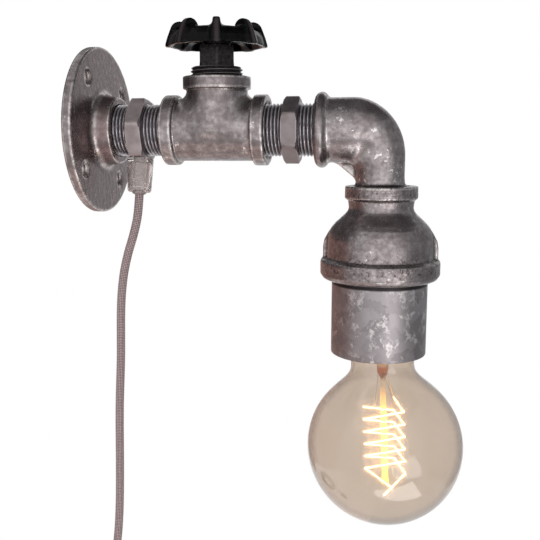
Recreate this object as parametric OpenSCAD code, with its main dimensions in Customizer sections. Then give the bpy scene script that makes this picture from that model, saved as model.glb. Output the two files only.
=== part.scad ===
// Pipe wall light: an arm of threaded iron pipe fittings on a round wall flange.
// A valve handwheel on the tee turns a rotary switch, and a globe bulb hangs from the elbow.
// The origin is the centre of the flange's back face, on the wall. +X runs out along the arm.

/* [Pipe thread] */
// Outside diameter of the arm's pipe thread
thread_d = 26.4; // [25.4:0.1:27.4]
// Distance from one thread crest to the next
thread_pitch = 1.814; // [1.4:0.002:2.4]
// Depth of the thread
thread_depth = 1.1; // [0.6:0.05:1.3]
// Length of thread screwed into a fitting
thread_engage = 12; // [9:0.5:13]
// Bore of the two nipples
nipple_bore_d = 20; // [17:0.5:20.5]
// Clearance between two screwed or slip surfaces
fit_gap = 0.2; // [0.1:0.05:0.25]

/* [Wall flange] */
// Diameter of the plate
flange_d = 85; // [80:1:100]
// Thickness of the plate
flange_t = 5; // [4:0.5:8]
// Diameter of the threaded boss
boss_d = 33; // [31.5:0.5:38]
// Height of the boss face above the wall
boss_h = 14; // [13:0.5:20]
// Radius of the fillet at the foot of the boss
boss_fillet = 2.5; // [1:0.5:4]
// Diameter of the screw hole circle
screw_pcd = 65; // [58:1:70]
// Number of screw holes
screw_count = 4; // [3:1:6]
// Diameter of a screw hole
screw_hole_d = 6; // [4:0.5:7]
// Diameter of a screw hole's countersink at the front
screw_sink_d = 9; // [8:0.5:11]
// Turn of the first screw hole from the top, towards the viewer
screw_turn = 36.5; // [0:0.5:90]

/* [Rear nipple] */
// Width of the rear hexagon across its flats
rear_hex_af = 30; // [29:0.5:34]
// Thickness of the rear hexagon along the arm
rear_hex_w = 8; // [7.6:0.2:11]
// Thread showing between the boss and the hexagon
rear_thread_a = 7.5; // [4:0.5:12]
// Thread showing between the hexagon and the tee
rear_thread_b = 10; // [5:0.5:14]
// Turn of the nipple, which leans the cord gland towards the viewer
rear_turn = 12; // [0:1:20]

/* [Cord gland] */
// Diameter of the spigot that enters the nipple
spigot_d = 6.8; // [6:0.1:7]
// Diameter of the sleeve where it meets the nipple
sleeve_d = 13.3; // [12.5:0.1:16]
// Diameter of the sleeve at its free end
sleeve_end_d = 12.2; // [11.5:0.1:14]
// Length of the collar that the sleeve screws up to
collar_h = 2.5; // [1.5:0.5:4]
// Length of the sleeve
sleeve_h = 14.5; // [12:0.5:18]
// Diameter of the threaded barrel inside the sleeve
barrel_d = 9.6; // [8.5:0.1:10]
// Diameter of the collet that grips the cord
collet_d = 7.4; // [6.8:0.1:8]
// Length of the collet that stands out of the sleeve
collet_out = 1.3; // [0.5:0.1:3]

/* [Tee] */
// Length of the tee's run from face to face
tee_run = 53; // [51:1:64]
// Height of the branch face above the arm's axis
tee_branch = 26.7; // [26:0.1:32]
// Diameter of the tee's body
tee_body_d = 31; // [30:0.5:33]
// Diameter of the end bands on the run
tee_band_d = 35.5; // [34:0.5:40]
// Diameter of the end band on the branch
branch_band_d = 34.5; // [33.5:0.5:38]
// Width of an end band
tee_band_w = 6.5; // [4:0.5:9]
// Diameter of the passage through the middle of the tee
tee_passage_d = 24; // [22:0.5:25]

/* [Bonnet and switch] */
// Height of the bonnet bush above the tee's branch face
bush_out = 4.7; // [3.5:0.1:8]
// Thickness of the bush's top plate
bush_plate = 3; // [2:0.5:4]
// Width of the hexagonal neck nut across its flats
neck_af = 17; // [15.5:0.5:19]
// Height of the neck nut
neck_h = 10.5; // [8:0.5:14]
// Turn of the neck nut when it is tight
neck_angle = 44.3; // [0:0.1:60]
// Diameter of the switch's case
switch_d = 18.6; // [17:0.1:19]
// Height of the switch's case
switch_h = 16; // [14:0.5:18]
// Wall of the switch's case
switch_wall = 1.3; // [1:0.1:1.8]
// Diameter of the switch's threaded neck
switch_neck_d = 9.8; // [9:0.1:11]
// Height of the switch's threaded neck
switch_neck_h = 7.8; // [6:0.1:9]
// Diameter of the shaft
shaft_d = 6; // [5:0.1:6.6]

/* [Handwheel] */
// Diameter of the wheel at its lower edge
wheel_d = 50.6; // [48:0.2:56]
// Height of the rim from its lower edge to its crown
rim_h = 8; // [7:0.5:10]
// Thickness of the dished rim
rim_t = 3; // [2:0.25:4]
// Depth that the rim's lower edge hangs below the hub
rim_drop = 0.8; // [0:0.1:2]
// Number of finger fins
fin_count = 8; // [6:1:10]
// Thickness of a fin
fin_t = 3.8; // [2.5:0.1:5]
// Radius of a fin's round top
fin_r = 4.7; // [4:0.1:6]
// Distance from the axis to the middle of a fin's round top
fin_at = 18.4; // [17:0.1:20]
// Turn of the wheel at rest, from the arm's line to the first fin
wheel_angle = 14.3; // [0:0.1:45]
// Number of spokes
spoke_count = 4; // [3:1:6]
// Width of a spoke
spoke_w = 6; // [4:0.5:8]
// Diameter of the hub
hub_d = 14; // [12:0.5:16]
// Depth of the hub's top face below the rim's crown
hub_sink = 1.7; // [1:0.1:1.8]
// Width of the wheel nut across its flats
wheel_nut_af = 10; // [9:0.5:12]
// Height of the wheel nut
wheel_nut_h = 3; // [2.5:0.5:3.5]
// Thickness of the wheel washer
washer_t = 0.8; // [0.6:0.1:1.2]

/* [Front nipple] */
// Width of the front hexagon across its flats
front_hex_af = 29.5; // [29:0.5:34]
// Thickness of the front hexagon along the arm
front_hex_w = 8; // [6:0.5:11]
// Thread showing between the tee and the hexagon
front_thread_a = 8.5; // [4:0.5:12]
// Thread showing between the hexagon and the elbow
front_thread_b = 8; // [4:0.5:12]

/* [Elbow] */
// Reach from the elbow's face to the lamp's axis
elbow_reach = 33; // [32:0.5:42]
// Radius of the bend at the pipe's centre
bend_r = 13; // [12:0.5:15]
// Diameter of the elbow's body at the socket
elbow_d = 32; // [31:0.5:34]
// Diameter of the elbow's leg above the lamp head
leg_d = 24.6; // [23:0.2:25.6]
// Length of leg showing between the bend and the lamp head
leg_show = 14.8; // [12:0.2:20]
// Diameter of the rounded bead at the socket
bead_d = 37.5; // [36:0.5:41]
// Width of the bead
bead_w = 6; // [4:0.5:8]
// Bore of the elbow's bend and leg
elbow_bore_d = 18; // [16:0.5:19]
// Thickness of the web in the inside corner
web_t = 3; // [2:0.5:5]
// Size of the web along each leg
web_size = 8.5; // [5:0.5:11]

/* [Reducer] */
// Diameter of the reducer's top band
red_top_d = 36.4; // [34:0.2:40]
// Height of the top band
red_top_h = 6.3; // [4:0.1:9]
// Diameter of the neck
red_neck_d = 32.2; // [30.5:0.2:34]
// Height of the neck
red_neck_h = 5.1; // [3:0.1:8]
// Height of the cone below the neck
red_cone_h = 12.7; // [10:0.1:18]
// Diameter of the shoulder
red_body_d = 53; // [51.5:0.5:56]
// Height of the shoulder
red_body_h = 12.5; // [9:0.5:16]
// Diameter of the bottom band
red_band_d = 60; // [57:0.5:64]
// Height of the bottom band
red_band_h = 9.9; // [7:0.1:14]
// Reach of the two side ribs from the lamp's axis
rib_reach = 28.6; // [27.5:0.1:29.5]
// Width of a side rib
rib_w = 5; // [3:0.5:8]

/* [Lamp tube] */
// Outside diameter of the tube
tube_d = 48.3; // [47.8:0.1:49]
// Wall of the tube
tube_wall = 3; // [2:0.1:3.4]
// Length of tube that shows below the reducer
tube_show = 38.5; // [34:0.5:50]
// Length of the tube's thread inside the reducer
tube_thread = 15.8; // [12:0.2:18]
// Depth of the tube's thread
tube_thread_depth = 0.85; // [0.5:0.05:0.9]

/* [Lampholder] */
// Thickness of the carrier disc on the tube's end
disc_t = 2; // [1.5:0.1:3]
// Outside diameter of the hollow threaded tube that carries the holder
stud_d = 9.8; // [9:0.1:10.4]
// Bore of the threaded tube
stud_bore_d = 7.6; // [6.8:0.1:8]
// Length of the threaded tube above the disc
stud_up = 6; // [5:0.5:8]
// Width of a carrier nut across its flats
carrier_nut_af = 14; // [13:0.5:16]
// Height of a carrier nut
carrier_nut_h = 3.5; // [2.5:0.5:4.5]
// Outside diameter of the holder
holder_d = 36; // [35:0.5:39]
// Height of the holder's dome
dome_h = 16.5; // [15:0.5:20]
// Gap left to the tube where the lampholder leans away from the wall
hang_gap = 1.2; // [0.5:0.1:3]
// Wall of the holder's dome
dome_wall = 2; // [1.5:0.1:2.5]
// Length of the holder's lower sleeve
sleeve_len = 27; // [24:0.5:28]
// Thickness of the insulating base in the holder
base_t = 6; // [5:0.5:7]
// Inside diameter of the brass screw shell
shell_d = 27; // [26.8:0.1:27.4]
// Wall of the brass screw shell
shell_wall = 0.6; // [0.4:0.1:0.8]
// Length of the brass screw shell
shell_len = 23; // [18:0.5:24]
// Height of the centre contact under the base
contact_h = 4.2; // [3:0.1:5]

/* [Bulb] */
// Diameter of the globe
globe_d = 80; // [76:1:84]
// Diameter of the glass neck
bulb_neck_d = 32.4; // [31:0.2:34]
// Wall of the glass
glass_t = 0.9; // [0.6:0.1:1.4]
// Overall length of the bulb
bulb_len = 119.5; // [117:0.5:124]
// Play between the screw cap and the screw shell
cap_play = 0.5; // [0.4:0.05:0.7]
// Height of the screw cap
cap_h = 20; // [18:0.5:22]
// Height of the cap's glass insulator
insulator_h = 3.4; // [2.5:0.1:5]
// Diameter of the end contact
end_contact_d = 10; // [8:0.5:11]
// Height of the end contact
end_contact_h = 1.6; // [1:0.1:2]
// Diameter of the filament's spiral
spiral_d = 21; // [16:0.5:24]
// Number of turns in the filament's spiral
spiral_turns = 6.5; // [4.5:1:7.5]
// Height of the filament's spiral
spiral_h = 45; // [38:0.5:48]
// Depth of the spiral's top below the cap's lower edge
spiral_drop = 33; // [31:0.5:36]
// Thickness of the filament as drawn
filament_d = 0.7; // [0.5:0.05:1]

/* [Cord and plug] */
// Diameter of the braided cord
cord_d = 4.5; // [4:0.1:4.8]
// Diameter of an inner wire
wire_d = 2; // [1.4:0.1:2.2]
// Width of the plug's body
plug_w = 35; // [33:0.5:38]
// Thickness of the plug's body
plug_t = 13.7; // [12:0.1:15]
// Height of the plug's body
plug_h = 34; // [30:0.5:40]
// Distance between the plug's pins
pin_gap = 19; // [18:0.5:20]
// Diameter of a pin
pin_d = 4; // [3.8:0.1:4.8]
// Length of a pin
pin_len = 19; // [16:0.5:20]
// Length of the plug's tapered strain relief
grip_h = 24; // [20:1:30]

/* [Hidden] */
$fn = 64;

// Finishes
iron = "#6b686b";
black_iron = "#1c1b1d";
brass = "#c9a04a";
clear_plastic = "#d8d2c8";
black_plastic = "#242326";
cord_colour = "#7d7479";
steel = "#b4b4b8";

// Small shared sizes
edge = 0.8;            // chamfer on a cast edge
run_gap = 0.3;         // clearance between parts that move past each other
shaft_gap = 0.05;      // running clearance of the shaft
cut = 1;               // overshoot of a cut past the face it opens
lap = 0.5;             // overlap of two solids that are one casting
base_lip = 1;          // depth that the lampholder's base stands below its dome
barrel_back = 5;       // depth of the gland's barrel inside its sleeve
cord_in = 2;           // length of cord inside the nipple

// Stations along the arm, from the wall
rear_hex_x = boss_h + rear_thread_a;
rear_hex_end = rear_hex_x + rear_hex_w;
gland_x = rear_hex_x + rear_hex_w / 2;
tee_x = rear_hex_end + rear_thread_b;
tee_mid = tee_x + tee_run / 2;
tee_end = tee_x + tee_run;
front_hex_x = tee_end + front_thread_a;
front_hex_end = front_hex_x + front_hex_w;
elbow_x = front_hex_end + front_thread_b;
lamp_x = elbow_x + elbow_reach;
bend_x = lamp_x - bend_r;

// Heights on the tee's branch, above the arm's axis
bush_top = tee_branch + bush_out;
bush_low = tee_branch - thread_engage;
plate_low = bush_top - bush_plate;
switch_low = plate_low - switch_h;
neck_top = bush_top + neck_h;
hub_low = neck_top + run_gap;
rim_low = hub_low - rim_drop;
rim_top = rim_low + rim_h;
hub_top = rim_top - hub_sink;
hub_h = hub_top - hub_low;
nut_low = hub_top + washer_t;
switch_base_t = 2;
track_t = 0.8;
track_top = switch_low + switch_base_t + track_t;
switch_bore_d = switch_d - 2 * switch_wall;
terminal_h = 5;
terminal_at = 4;
shaft_low = track_top + 0.4;

// Heights on the lamp's axis, below the arm's axis
red_top = -bend_r - leg_show;
red_neck_top = red_top - red_top_h;
red_cone_top = red_neck_top - red_neck_h;
red_body_top = red_cone_top - red_cone_h;
red_band_top = red_body_top - red_body_h;
red_low = red_band_top - red_band_h;
tube_top = red_low + tube_thread;
tube_low = red_low - tube_show;
disc_top = tube_top + disc_t;
hang_lean = atan((tube_d / 2 - tube_wall - holder_d / 2 - hang_gap) / (dome_h + sleeve_len));
lean_drop = carrier_nut_af / 2 / cos(30) * abs(sin(hang_lean));
dome_top = tube_top - carrier_nut_h - fit_gap - lean_drop;
dome_low = dome_top - dome_h;
base_low = dome_low - base_lip;
base_top = base_low + base_t;
bulb_top = base_low - contact_h - run_gap;
cap_d = shell_d - 2 * cap_play;
cap_top = bulb_top - end_contact_h - insulator_h;
cap_low = cap_top - cap_h;
bulb_low = bulb_top - bulb_len;
globe_z = bulb_low + globe_d / 2;
spiral_top = cap_low - spiral_drop;
spiral_low = spiral_top - spiral_h;

// Radii that mating pieces share
thread_r = thread_d / 2;
root_r = thread_r - thread_depth;
socket_r = thread_r + fit_gap;
tube_thread_r = tube_d / 2 - tube_thread_depth;
red_socket_r = tube_thread_r + fit_gap;
bush_bore_r = switch_d / 2 + fit_gap;
cord_bore_d = cord_d + 2 * fit_gap;

// The gland's stations, measured outwards from the arm's axis
gland_flat = rear_hex_af / 2;
sleeve_from = gland_flat + collar_h;
sleeve_to = sleeve_from + sleeve_h;
barrel_to = sleeve_to - barrel_back;
collet_to = sleeve_to + collet_out;
cord_from = nipple_bore_d / 2 - cord_in;

// Route of the cord from inside the nipple to the coil, in round numbers
cord_route = [[25.5, -1.7, -7.8], [25.5, -4, -18.8], [25.5, -6.2, -29.3], [25.4, -7.4, -36],
    [24.6, -8.5, -45], [22.5, -9.3, -54], [19.4, -9.8, -64], [17, -10, -74], [15.4, -10, -85],
    [14.6, -10, -96], [14.2, -10, -108], [13.8, -10, -120], [13.1, -10, -132], [12.4, -10, -144],
    [11.9, -10, -156], [11.6, -10, -168], [11.3, -10, -180], [10.9, -10, -192], [10.4, -10.1, -204],
    [9.7, -10.6, -216], [8.7, -11.9, -228], [7.4, -14.2, -240], [6, -17.1, -251], [4.8, -20, -261],
    [4.1, -22.8, -270]];

// The coil hangs flat near the wall, below the part of the cord that shows
coil_at = [4, 10, -284];
coil_in_r = 17.5;
coil_step = 5;
layer_step = 5;
coil_start = 165;
coil_angle = 8 * 360 + 15;
climb_angle = 180;
climb_dip = 1.2;
loop_rings = 24;
spiral_angle = (coil_angle - climb_angle) / 2;
coil_out_r = coil_in_r + coil_step * spiral_angle / 360;
lead_drop = 44;
lead_end = [coil_at.x + layer_step, coil_at.y - coil_out_r, coil_at.z - lead_drop];
grip_low = lead_end.z - grip_h;

function unit(v) = v / norm(v);
function tangent(p, i) = unit(p[min(i + 1, len(p) - 1)] - p[max(i - 1, 0)]);
function ease(u) = u * u * (3 - 2 * u);
function reverse(v) = [for (i = [len(v) - 1 : -1 : 0]) v[i]];
function arc(c, r, a0, a1, n) =
    [for (i = [0 : n]) let (a = a0 + (a1 - a0) * i / n) c + r * [cos(a), sin(a)]];
function bezier(a, b, c, d, n) = [for (i = [0 : n])
    let (u = i / n, v = 1 - u) v * v * v * a + 3 * v * v * u * b + 3 * v * u * u * c + u * u * u * d];
function path_length(p) = len(p) < 2 ? 0 : [for (i = [1 : len(p) - 1]) norm(p[i] - p[i - 1])]
    * [for (i = [1 : len(p) - 1]) 1];
function ring(p, i, r, sides, ref) =
    let (t = tangent(p, i), a = unit(cross(t, ref)), b = cross(t, a))
    [for (k = [0 : sides - 1]) p[i] + r * (cos(360 * k / sides) * a + sin(360 * k / sides) * b)];

// A closed skin over a list of rings that all have the same number of points
module skin(rings) {
    n = len(rings);
    s = len(rings[0]);
    last = (n - 1) * s;
    walls = [for (i = [0 : n - 2], k = [0 : s - 1])
        let (a = i * s + k, b = i * s + (k + 1) % s) each [[a, b + s, b], [a, a + s, b + s]]];
    first_cap = [for (k = [1 : s - 2]) [0, k, k + 1]];
    last_cap = [for (k = [1 : s - 2]) [last, last + k + 1, last + k]];
    polyhedron([for (r = rings) each r], concat(walls, first_cap, last_cap));
}

// A round tube swept along a path, with its rings square to it
module swept_tube(path, d, sides, ref) {
    skin([for (i = [0 : len(path) - 1]) ring(path, i, d / 2, sides, ref)]);
}

// Turns a shape made around +Z so that it lies along the arm
module along_x() {
    rotate([0, 90, 0]) children();
}

// Saw-tooth outline of a thread between two stations, as radius and height
function thread_line(z0, z1, crest, root, pitch) =
    let (n = floor((z1 - z0) / pitch))
    concat([for (i = [0 : n - 1]) each [[root, z0 + i * pitch], [crest, z0 + (i + 0.5) * pitch]]],
        [[root, z0 + n * pitch], [root, z1]]);

// A hexagonal prism around +Z with its corners turned off at both ends
module chamfered_hex(af, h) {
    corner_r = af / 2 / cos(30);
    bevel = 0.6 * (corner_r - af / 2);
    intersection() {
        cylinder(r = corner_r, h = h, $fn = 6);
        rotate_extrude()
            polygon([[0, 0], [af / 2, 0], [corner_r, bevel], [corner_r, h - bevel], [af / 2, h], [0, h]]);
    }
}

// A threaded nipple around +Z, from z0 to z1, with its hexagon between h0 and h1
module hex_nipple(z0, h0, h1, z1, af) {
    bore_r = nipple_bore_d / 2;
    difference() {
        union() {
            rotate_extrude()
                polygon(concat([[bore_r, z0]], thread_line(z0, h0, thread_r, root_r, thread_pitch),
                    thread_line(h1, z1, thread_r, root_r, thread_pitch), [[bore_r, z1]]));
            translate([0, 0, h0])
                chamfered_hex(af, h1 - h0);
        }
        translate([0, 0, z0 - cut])
            cylinder(r = bore_r, h = z1 - z0 + 2 * cut);
    }
}

module wall_flange() {
    r = flange_d / 2;
    b = boss_d / 2;
    foot = arc([b + boss_fillet, flange_t + boss_fillet], boss_fillet, 270, 180, 6);
    color(iron)
        difference() {
            along_x()
                rotate_extrude($fn = 96)
                    polygon(concat([[socket_r, 0], [r - edge, 0], [r, edge], [r, flange_t - edge],
                        [r - edge, flange_t]], foot, [[b, boss_h - edge], [b - edge, boss_h],
                        [socket_r, boss_h]]));
            for (i = [0 : screw_count - 1])
                rotate([screw_turn + i * 360 / screw_count, 0, 0])
                    translate([0, 0, screw_pcd / 2])
                        along_x() {
                            translate([0, 0, -cut])
                                cylinder(d = screw_hole_d, h = flange_t + 2 * cut);
                            translate([0, 0, flange_t - (screw_sink_d - screw_hole_d) / 2])
                                cylinder(d1 = screw_hole_d, d2 = screw_sink_d + 2 * cut,
                                    h = (screw_sink_d - screw_hole_d) / 2 + cut);
                        }
        }
}

// Carries a shape made around +Z to the gland's axis, pointing away from the arm
module on_gland() {
    rotate([-rear_turn, 0, 0]) translate([gland_x, 0, 0]) rotate([180, 0, 0]) children();
}

module rear_nipple() {
    color(iron)
        difference() {
            rotate([-rear_turn, 0, 0])
                along_x()
                    rotate([0, 0, 30])
                        hex_nipple(boss_h - thread_engage, rear_hex_x, rear_hex_end, tee_x + thread_engage,
                            rear_hex_af);
            on_gland()
                cylinder(d = spigot_d + 2 * fit_gap, h = rear_hex_af);
        }
}

module gland_body() {
    spigot_from = nipple_bore_d / 2 + lap;
    color(clear_plastic)
        on_gland()
            difference() {
                union() {
                    translate([0, 0, spigot_from])
                        cylinder(d = spigot_d, h = gland_flat + lap - spigot_from);
                    translate([0, 0, gland_flat])
                        cylinder(d = sleeve_d, h = collar_h);
                    translate([0, 0, sleeve_from])
                        cylinder(d = barrel_d, h = barrel_to - sleeve_from);
                }
                cylinder(d = cord_bore_d, h = barrel_to + cut);
            }
}

module gland_sleeve() {
    lip = 2;
    color(clear_plastic)
        on_gland()
            difference() {
                translate([0, 0, sleeve_from])
                    cylinder(d1 = sleeve_d, d2 = sleeve_end_d, h = sleeve_h);
                translate([0, 0, sleeve_from - cut])
                    cylinder(d = barrel_d + 2 * fit_gap, h = sleeve_h - lip + cut);
                translate([0, 0, sleeve_from])
                    cylinder(d = collet_d + 2 * fit_gap, h = sleeve_h + cut);
            }
}

module gland_collet() {
    slit = 0.6;
    slit_from = barrel_to + 2;
    color(clear_plastic)
        on_gland()
            difference() {
                translate([0, 0, barrel_to + fit_gap])
                    cylinder(d = collet_d, h = collet_to - barrel_to - fit_gap);
                cylinder(d = cord_bore_d, h = collet_to + cut);
                translate([-collet_d, -slit / 2, slit_from])
                    cube([2 * collet_d, slit, collet_to]);
            }
}

// Outline of a cast pipe with a band at each marked end, as radius and height
function banded(z0, z1, body_r, band_r, w) =
    [[0, z0], [band_r - edge, z0], [band_r, z0 + edge], [band_r, z0 + w - edge],
    [body_r, z0 + w + edge], [body_r, z1 - w - edge], [band_r, z1 - w + edge], [band_r, z1 - edge],
    [band_r - edge, z1], [0, z1]];

module tee() {
    body_r = tee_body_d / 2;
    band_r = branch_band_d / 2;
    socket = thread_engage + 1;
    color(iron)
        difference() {
            union() {
                along_x()
                    rotate_extrude()
                        polygon(banded(tee_x, tee_end, body_r, tee_band_d / 2, tee_band_w));
                translate([tee_mid, 0, 0])
                    rotate_extrude()
                        polygon([[0, 0], [body_r, 0], [body_r, tee_branch - tee_band_w - edge],
                            [band_r, tee_branch - tee_band_w + edge], [band_r, tee_branch - edge],
                            [band_r - edge, tee_branch], [0, tee_branch]]);
            }
            along_x() {
                translate([0, 0, tee_x - cut])
                    cylinder(r = socket_r, h = socket + cut);
                translate([0, 0, tee_end - socket])
                    cylinder(r = socket_r, h = socket + cut);
                translate([0, 0, tee_x])
                    cylinder(d = tee_passage_d, h = tee_run);
            }
            translate([tee_mid, 0, tee_branch - socket])
                cylinder(r = socket_r, h = socket + cut);
            translate([tee_mid, 0, 0])
                cylinder(d = tee_passage_d, h = tee_branch);
        }
}

module bonnet_bush() {
    color(black_iron)
        translate([tee_mid, 0, 0])
            difference() {
                rotate_extrude()
                    polygon(concat([[0, bush_low]],
                        thread_line(bush_low, bush_top, thread_r, root_r, thread_pitch), [[0, bush_top]]));
                translate([0, 0, bush_low - cut])
                    cylinder(r = bush_bore_r, h = plate_low - bush_low + cut);
                translate([0, 0, plate_low - cut])
                    cylinder(d = switch_neck_d + 2 * fit_gap, h = bush_plate + 2 * cut);
            }
}

module neck_nut() {
    recess = plate_low + switch_neck_h + lap - bush_top;
    color(black_iron)
        translate([tee_mid, 0, bush_top])
            difference() {
                rotate([0, 0, neck_angle])
                    cylinder(d = neck_af / cos(30), h = neck_h, $fn = 6);
                translate([0, 0, -cut])
                    cylinder(d = switch_neck_d + 2 * fit_gap, h = recess + cut);
                translate([0, 0, -cut])
                    cylinder(d = shaft_d + 2 * run_gap, h = neck_h + 2 * cut);
            }
}

module switch_case() {
    color(black_plastic)
        translate([tee_mid, 0, 0])
            difference() {
                union() {
                    translate([0, 0, switch_low])
                        cylinder(d = switch_d, h = switch_h);
                    translate([0, 0, plate_low])
                        cylinder(d = switch_neck_d, h = switch_neck_h);
                }
                translate([0, 0, switch_low - cut])
                    cylinder(d = switch_bore_d, h = switch_h - 2 * switch_wall + cut);
                translate([0, 0, switch_low])
                    cylinder(d = shaft_d + 2 * shaft_gap, h = switch_h + switch_neck_h + cut);
            }
}

module switch_base() {
    color("#8a5a2c")
        translate([tee_mid, 0, switch_low])
            cylinder(d = switch_bore_d - 2 * fit_gap, h = switch_base_t);
}

module switch_track() {
    margin = 0.7;
    color("#2b2b2e")
        translate([tee_mid, 0, switch_low + switch_base_t])
            difference() {
                cylinder(d = switch_bore_d - 2 * margin, h = track_t);
                translate([0, 0, -cut])
                    cylinder(d = shaft_d, h = track_t + 2 * cut);
            }
}

module switch_terminals() {
    tag = [1, 3, terminal_h];
    color(brass)
        for (side = [-1, 1])
            translate([tee_mid + side * terminal_at - tag.x / 2, -tag.y / 2, switch_low - terminal_h])
                cube(tag);
}

module switch_wiper() {
    arm = switch_bore_d / 2 - 1.6;
    arm_w = 3;
    arm_t = 1;
    shoe = 1.2;
    collar = 3;
    low = track_top + 0.1;
    arm_z = shaft_low + 1;
    color(brass)
        translate([tee_mid, 0, 0])
            difference() {
                union() {
                    translate([0, 0, arm_z])
                        cylinder(d = shaft_d + collar, h = collar);
                    translate([0, -arm_w / 2, arm_z])
                        cube([arm, arm_w, arm_t]);
                    translate([arm - shoe, -arm_w / 2, low])
                        cube([shoe, arm_w, arm_z + arm_t - low]);
                }
                translate([0, 0, arm_z - cut])
                    cylinder(d = shaft_d + 2 * shaft_gap, h = collar + 2 * cut);
            }
}

module wheel_shaft() {
    color(steel)
        translate([tee_mid, 0, shaft_low])
            cylinder(d = shaft_d, h = nut_low + wheel_nut_h - shaft_low);
}

// Outline of one finger fin, as distance from the axis and height
function fin_line() =
    let (r = wheel_d / 2, foot = 0.6, c = [fin_at, rim_top - foot])
    concat([[r, rim_low + foot]], arc(c, fin_r, 22, 180, 12),
        [[fin_at - fin_r, rim_top - rim_t + lap], [r - rim_t, rim_low + foot]]);

module handwheel() {
    r = wheel_d / 2;
    crown = fin_at - 1;
    dish = crown + 3;
    in_r = r - rim_t;
    in_top = rim_top - rim_t;
    outer = bezier([r, rim_low], [r, rim_low + rim_h * 0.5], [r - 2, rim_top - 0.3], [dish, rim_top], 8);
    inner = bezier([dish, in_top], [in_r - 1.6, in_top - 0.2], [in_r, rim_low + rim_h * 0.35],
        [in_r + 0.8, rim_low], 8);
    color(black_iron)
        translate([tee_mid, 0, 0])
            rotate([0, 0, wheel_angle])
                difference() {
                    union() {
                        rotate_extrude($fn = 96)
                            polygon(concat(outer, [[crown, rim_top], [crown, in_top]], inner));
                        for (i = [0 : fin_count - 1])
                            rotate([90, 0, i * 360 / fin_count])
                                translate([0, 0, -fin_t / 2])
                                    linear_extrude(fin_t)
                                        polygon(fin_line());
                        for (i = [0 : spoke_count - 1])
                            rotate([0, 0, (i + 0.5) * 360 / spoke_count])
                                translate([0, -spoke_w / 2, hub_top - rim_t])
                                    cube([crown + lap, spoke_w, rim_t]);
                        translate([0, 0, hub_low])
                            cylinder(d = hub_d, h = hub_h);
                    }
                    translate([0, 0, hub_low - cut])
                        cylinder(d = shaft_d + 2 * shaft_gap, h = hub_h + 2 * cut);
                }
}

module wheel_washer() {
    color(steel)
        translate([tee_mid, 0, hub_top])
            difference() {
                cylinder(d = hub_d - 1, h = washer_t);
                translate([0, 0, -cut])
                    cylinder(d = shaft_d + 2 * shaft_gap, h = washer_t + 2 * cut);
            }
}

module wheel_nut() {
    color(steel)
        translate([tee_mid, 0, nut_low])
            difference() {
                chamfered_hex(wheel_nut_af, wheel_nut_h);
                translate([0, 0, -cut])
                    cylinder(d = shaft_d + 2 * shaft_gap, h = wheel_nut_h + 2 * cut);
            }
}

module front_nipple() {
    color(iron)
        along_x()
            hex_nipple(tee_end - thread_engage, front_hex_x, front_hex_end, elbow_x + thread_engage,
                front_hex_af);
}

// Rings of the elbow's bend, whose pipe narrows from the socket to the leg.
// They stand just proud of the two pipes, and the inside of the bend is kept off its own axis.
function bend_rings(steps, sides) =
    let (proud = 0.05, least = 1)
    [for (i = [0 : steps])
        let (u = i / steps, a = 90 * u,
            r = (elbow_d + (leg_d - elbow_d) * ease(u)) / 2 / cos(180 / sides) + proud)
        [for (k = [0 : sides - 1])
            let (t = -360 * k / sides, out = max(bend_r + r * cos(t), least))
            [bend_x + out * sin(a), r * sin(t), out * cos(a) - bend_r]]];

module street_elbow() {
    bead_r = bead_w / 2;
    bead_at = bead_d / 2 - bead_r;
    leg_r = leg_d / 2;
    leg_low = red_top - thread_engage;
    web_root = elbow_d / 2;
    body_end = bend_x - elbow_x + 2 * lap;
    color(iron)
        difference() {
            union() {
                along_x()
                    translate([0, 0, elbow_x])
                        rotate_extrude()
                            polygon(concat([[0, 0], [bead_at, 0]],
                                arc([bead_at, bead_r], bead_r, -90, 70, 10),
                                [[elbow_d / 2, bead_w + edge], [elbow_d / 2, body_end], [0, body_end]]));
                skin(bend_rings(12, 32));
                translate([lamp_x, 0, 0])
                    rotate_extrude()
                        polygon(concat([[0, leg_low]],
                            thread_line(leg_low, red_top - fit_gap, thread_r, root_r, thread_pitch),
                            [[leg_r, red_top], [leg_r, lap - bend_r], [0, lap - bend_r]]));
                translate([lamp_x, web_t / 2, 0])
                    rotate([90, 0, 0])
                        linear_extrude(web_t)
                            polygon([[-leg_r - web_size, -web_root + lap], [-leg_r - web_size, -web_root],
                                [-leg_r, -web_root - web_size], [-leg_r + lap, -web_root - web_size],
                                [-leg_r + 4 * lap, -web_root + lap]]);
            }
            along_x()
                translate([0, 0, elbow_x - cut]) {
                    cylinder(r = socket_r, h = thread_engage + 1 + cut);
                    cylinder(d = elbow_bore_d, h = bend_x - elbow_x + cut);
                }
            translate([bend_x, 0, -bend_r])
                rotate([90, 0, 0])
                    rotate_extrude(angle = 90)
                        translate([bend_r, 0])
                            circle(d = elbow_bore_d);
            translate([lamp_x, 0, leg_low - cut])
                cylinder(d = elbow_bore_d, h = thread_engage + leg_show + cut);
        }
}

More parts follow.
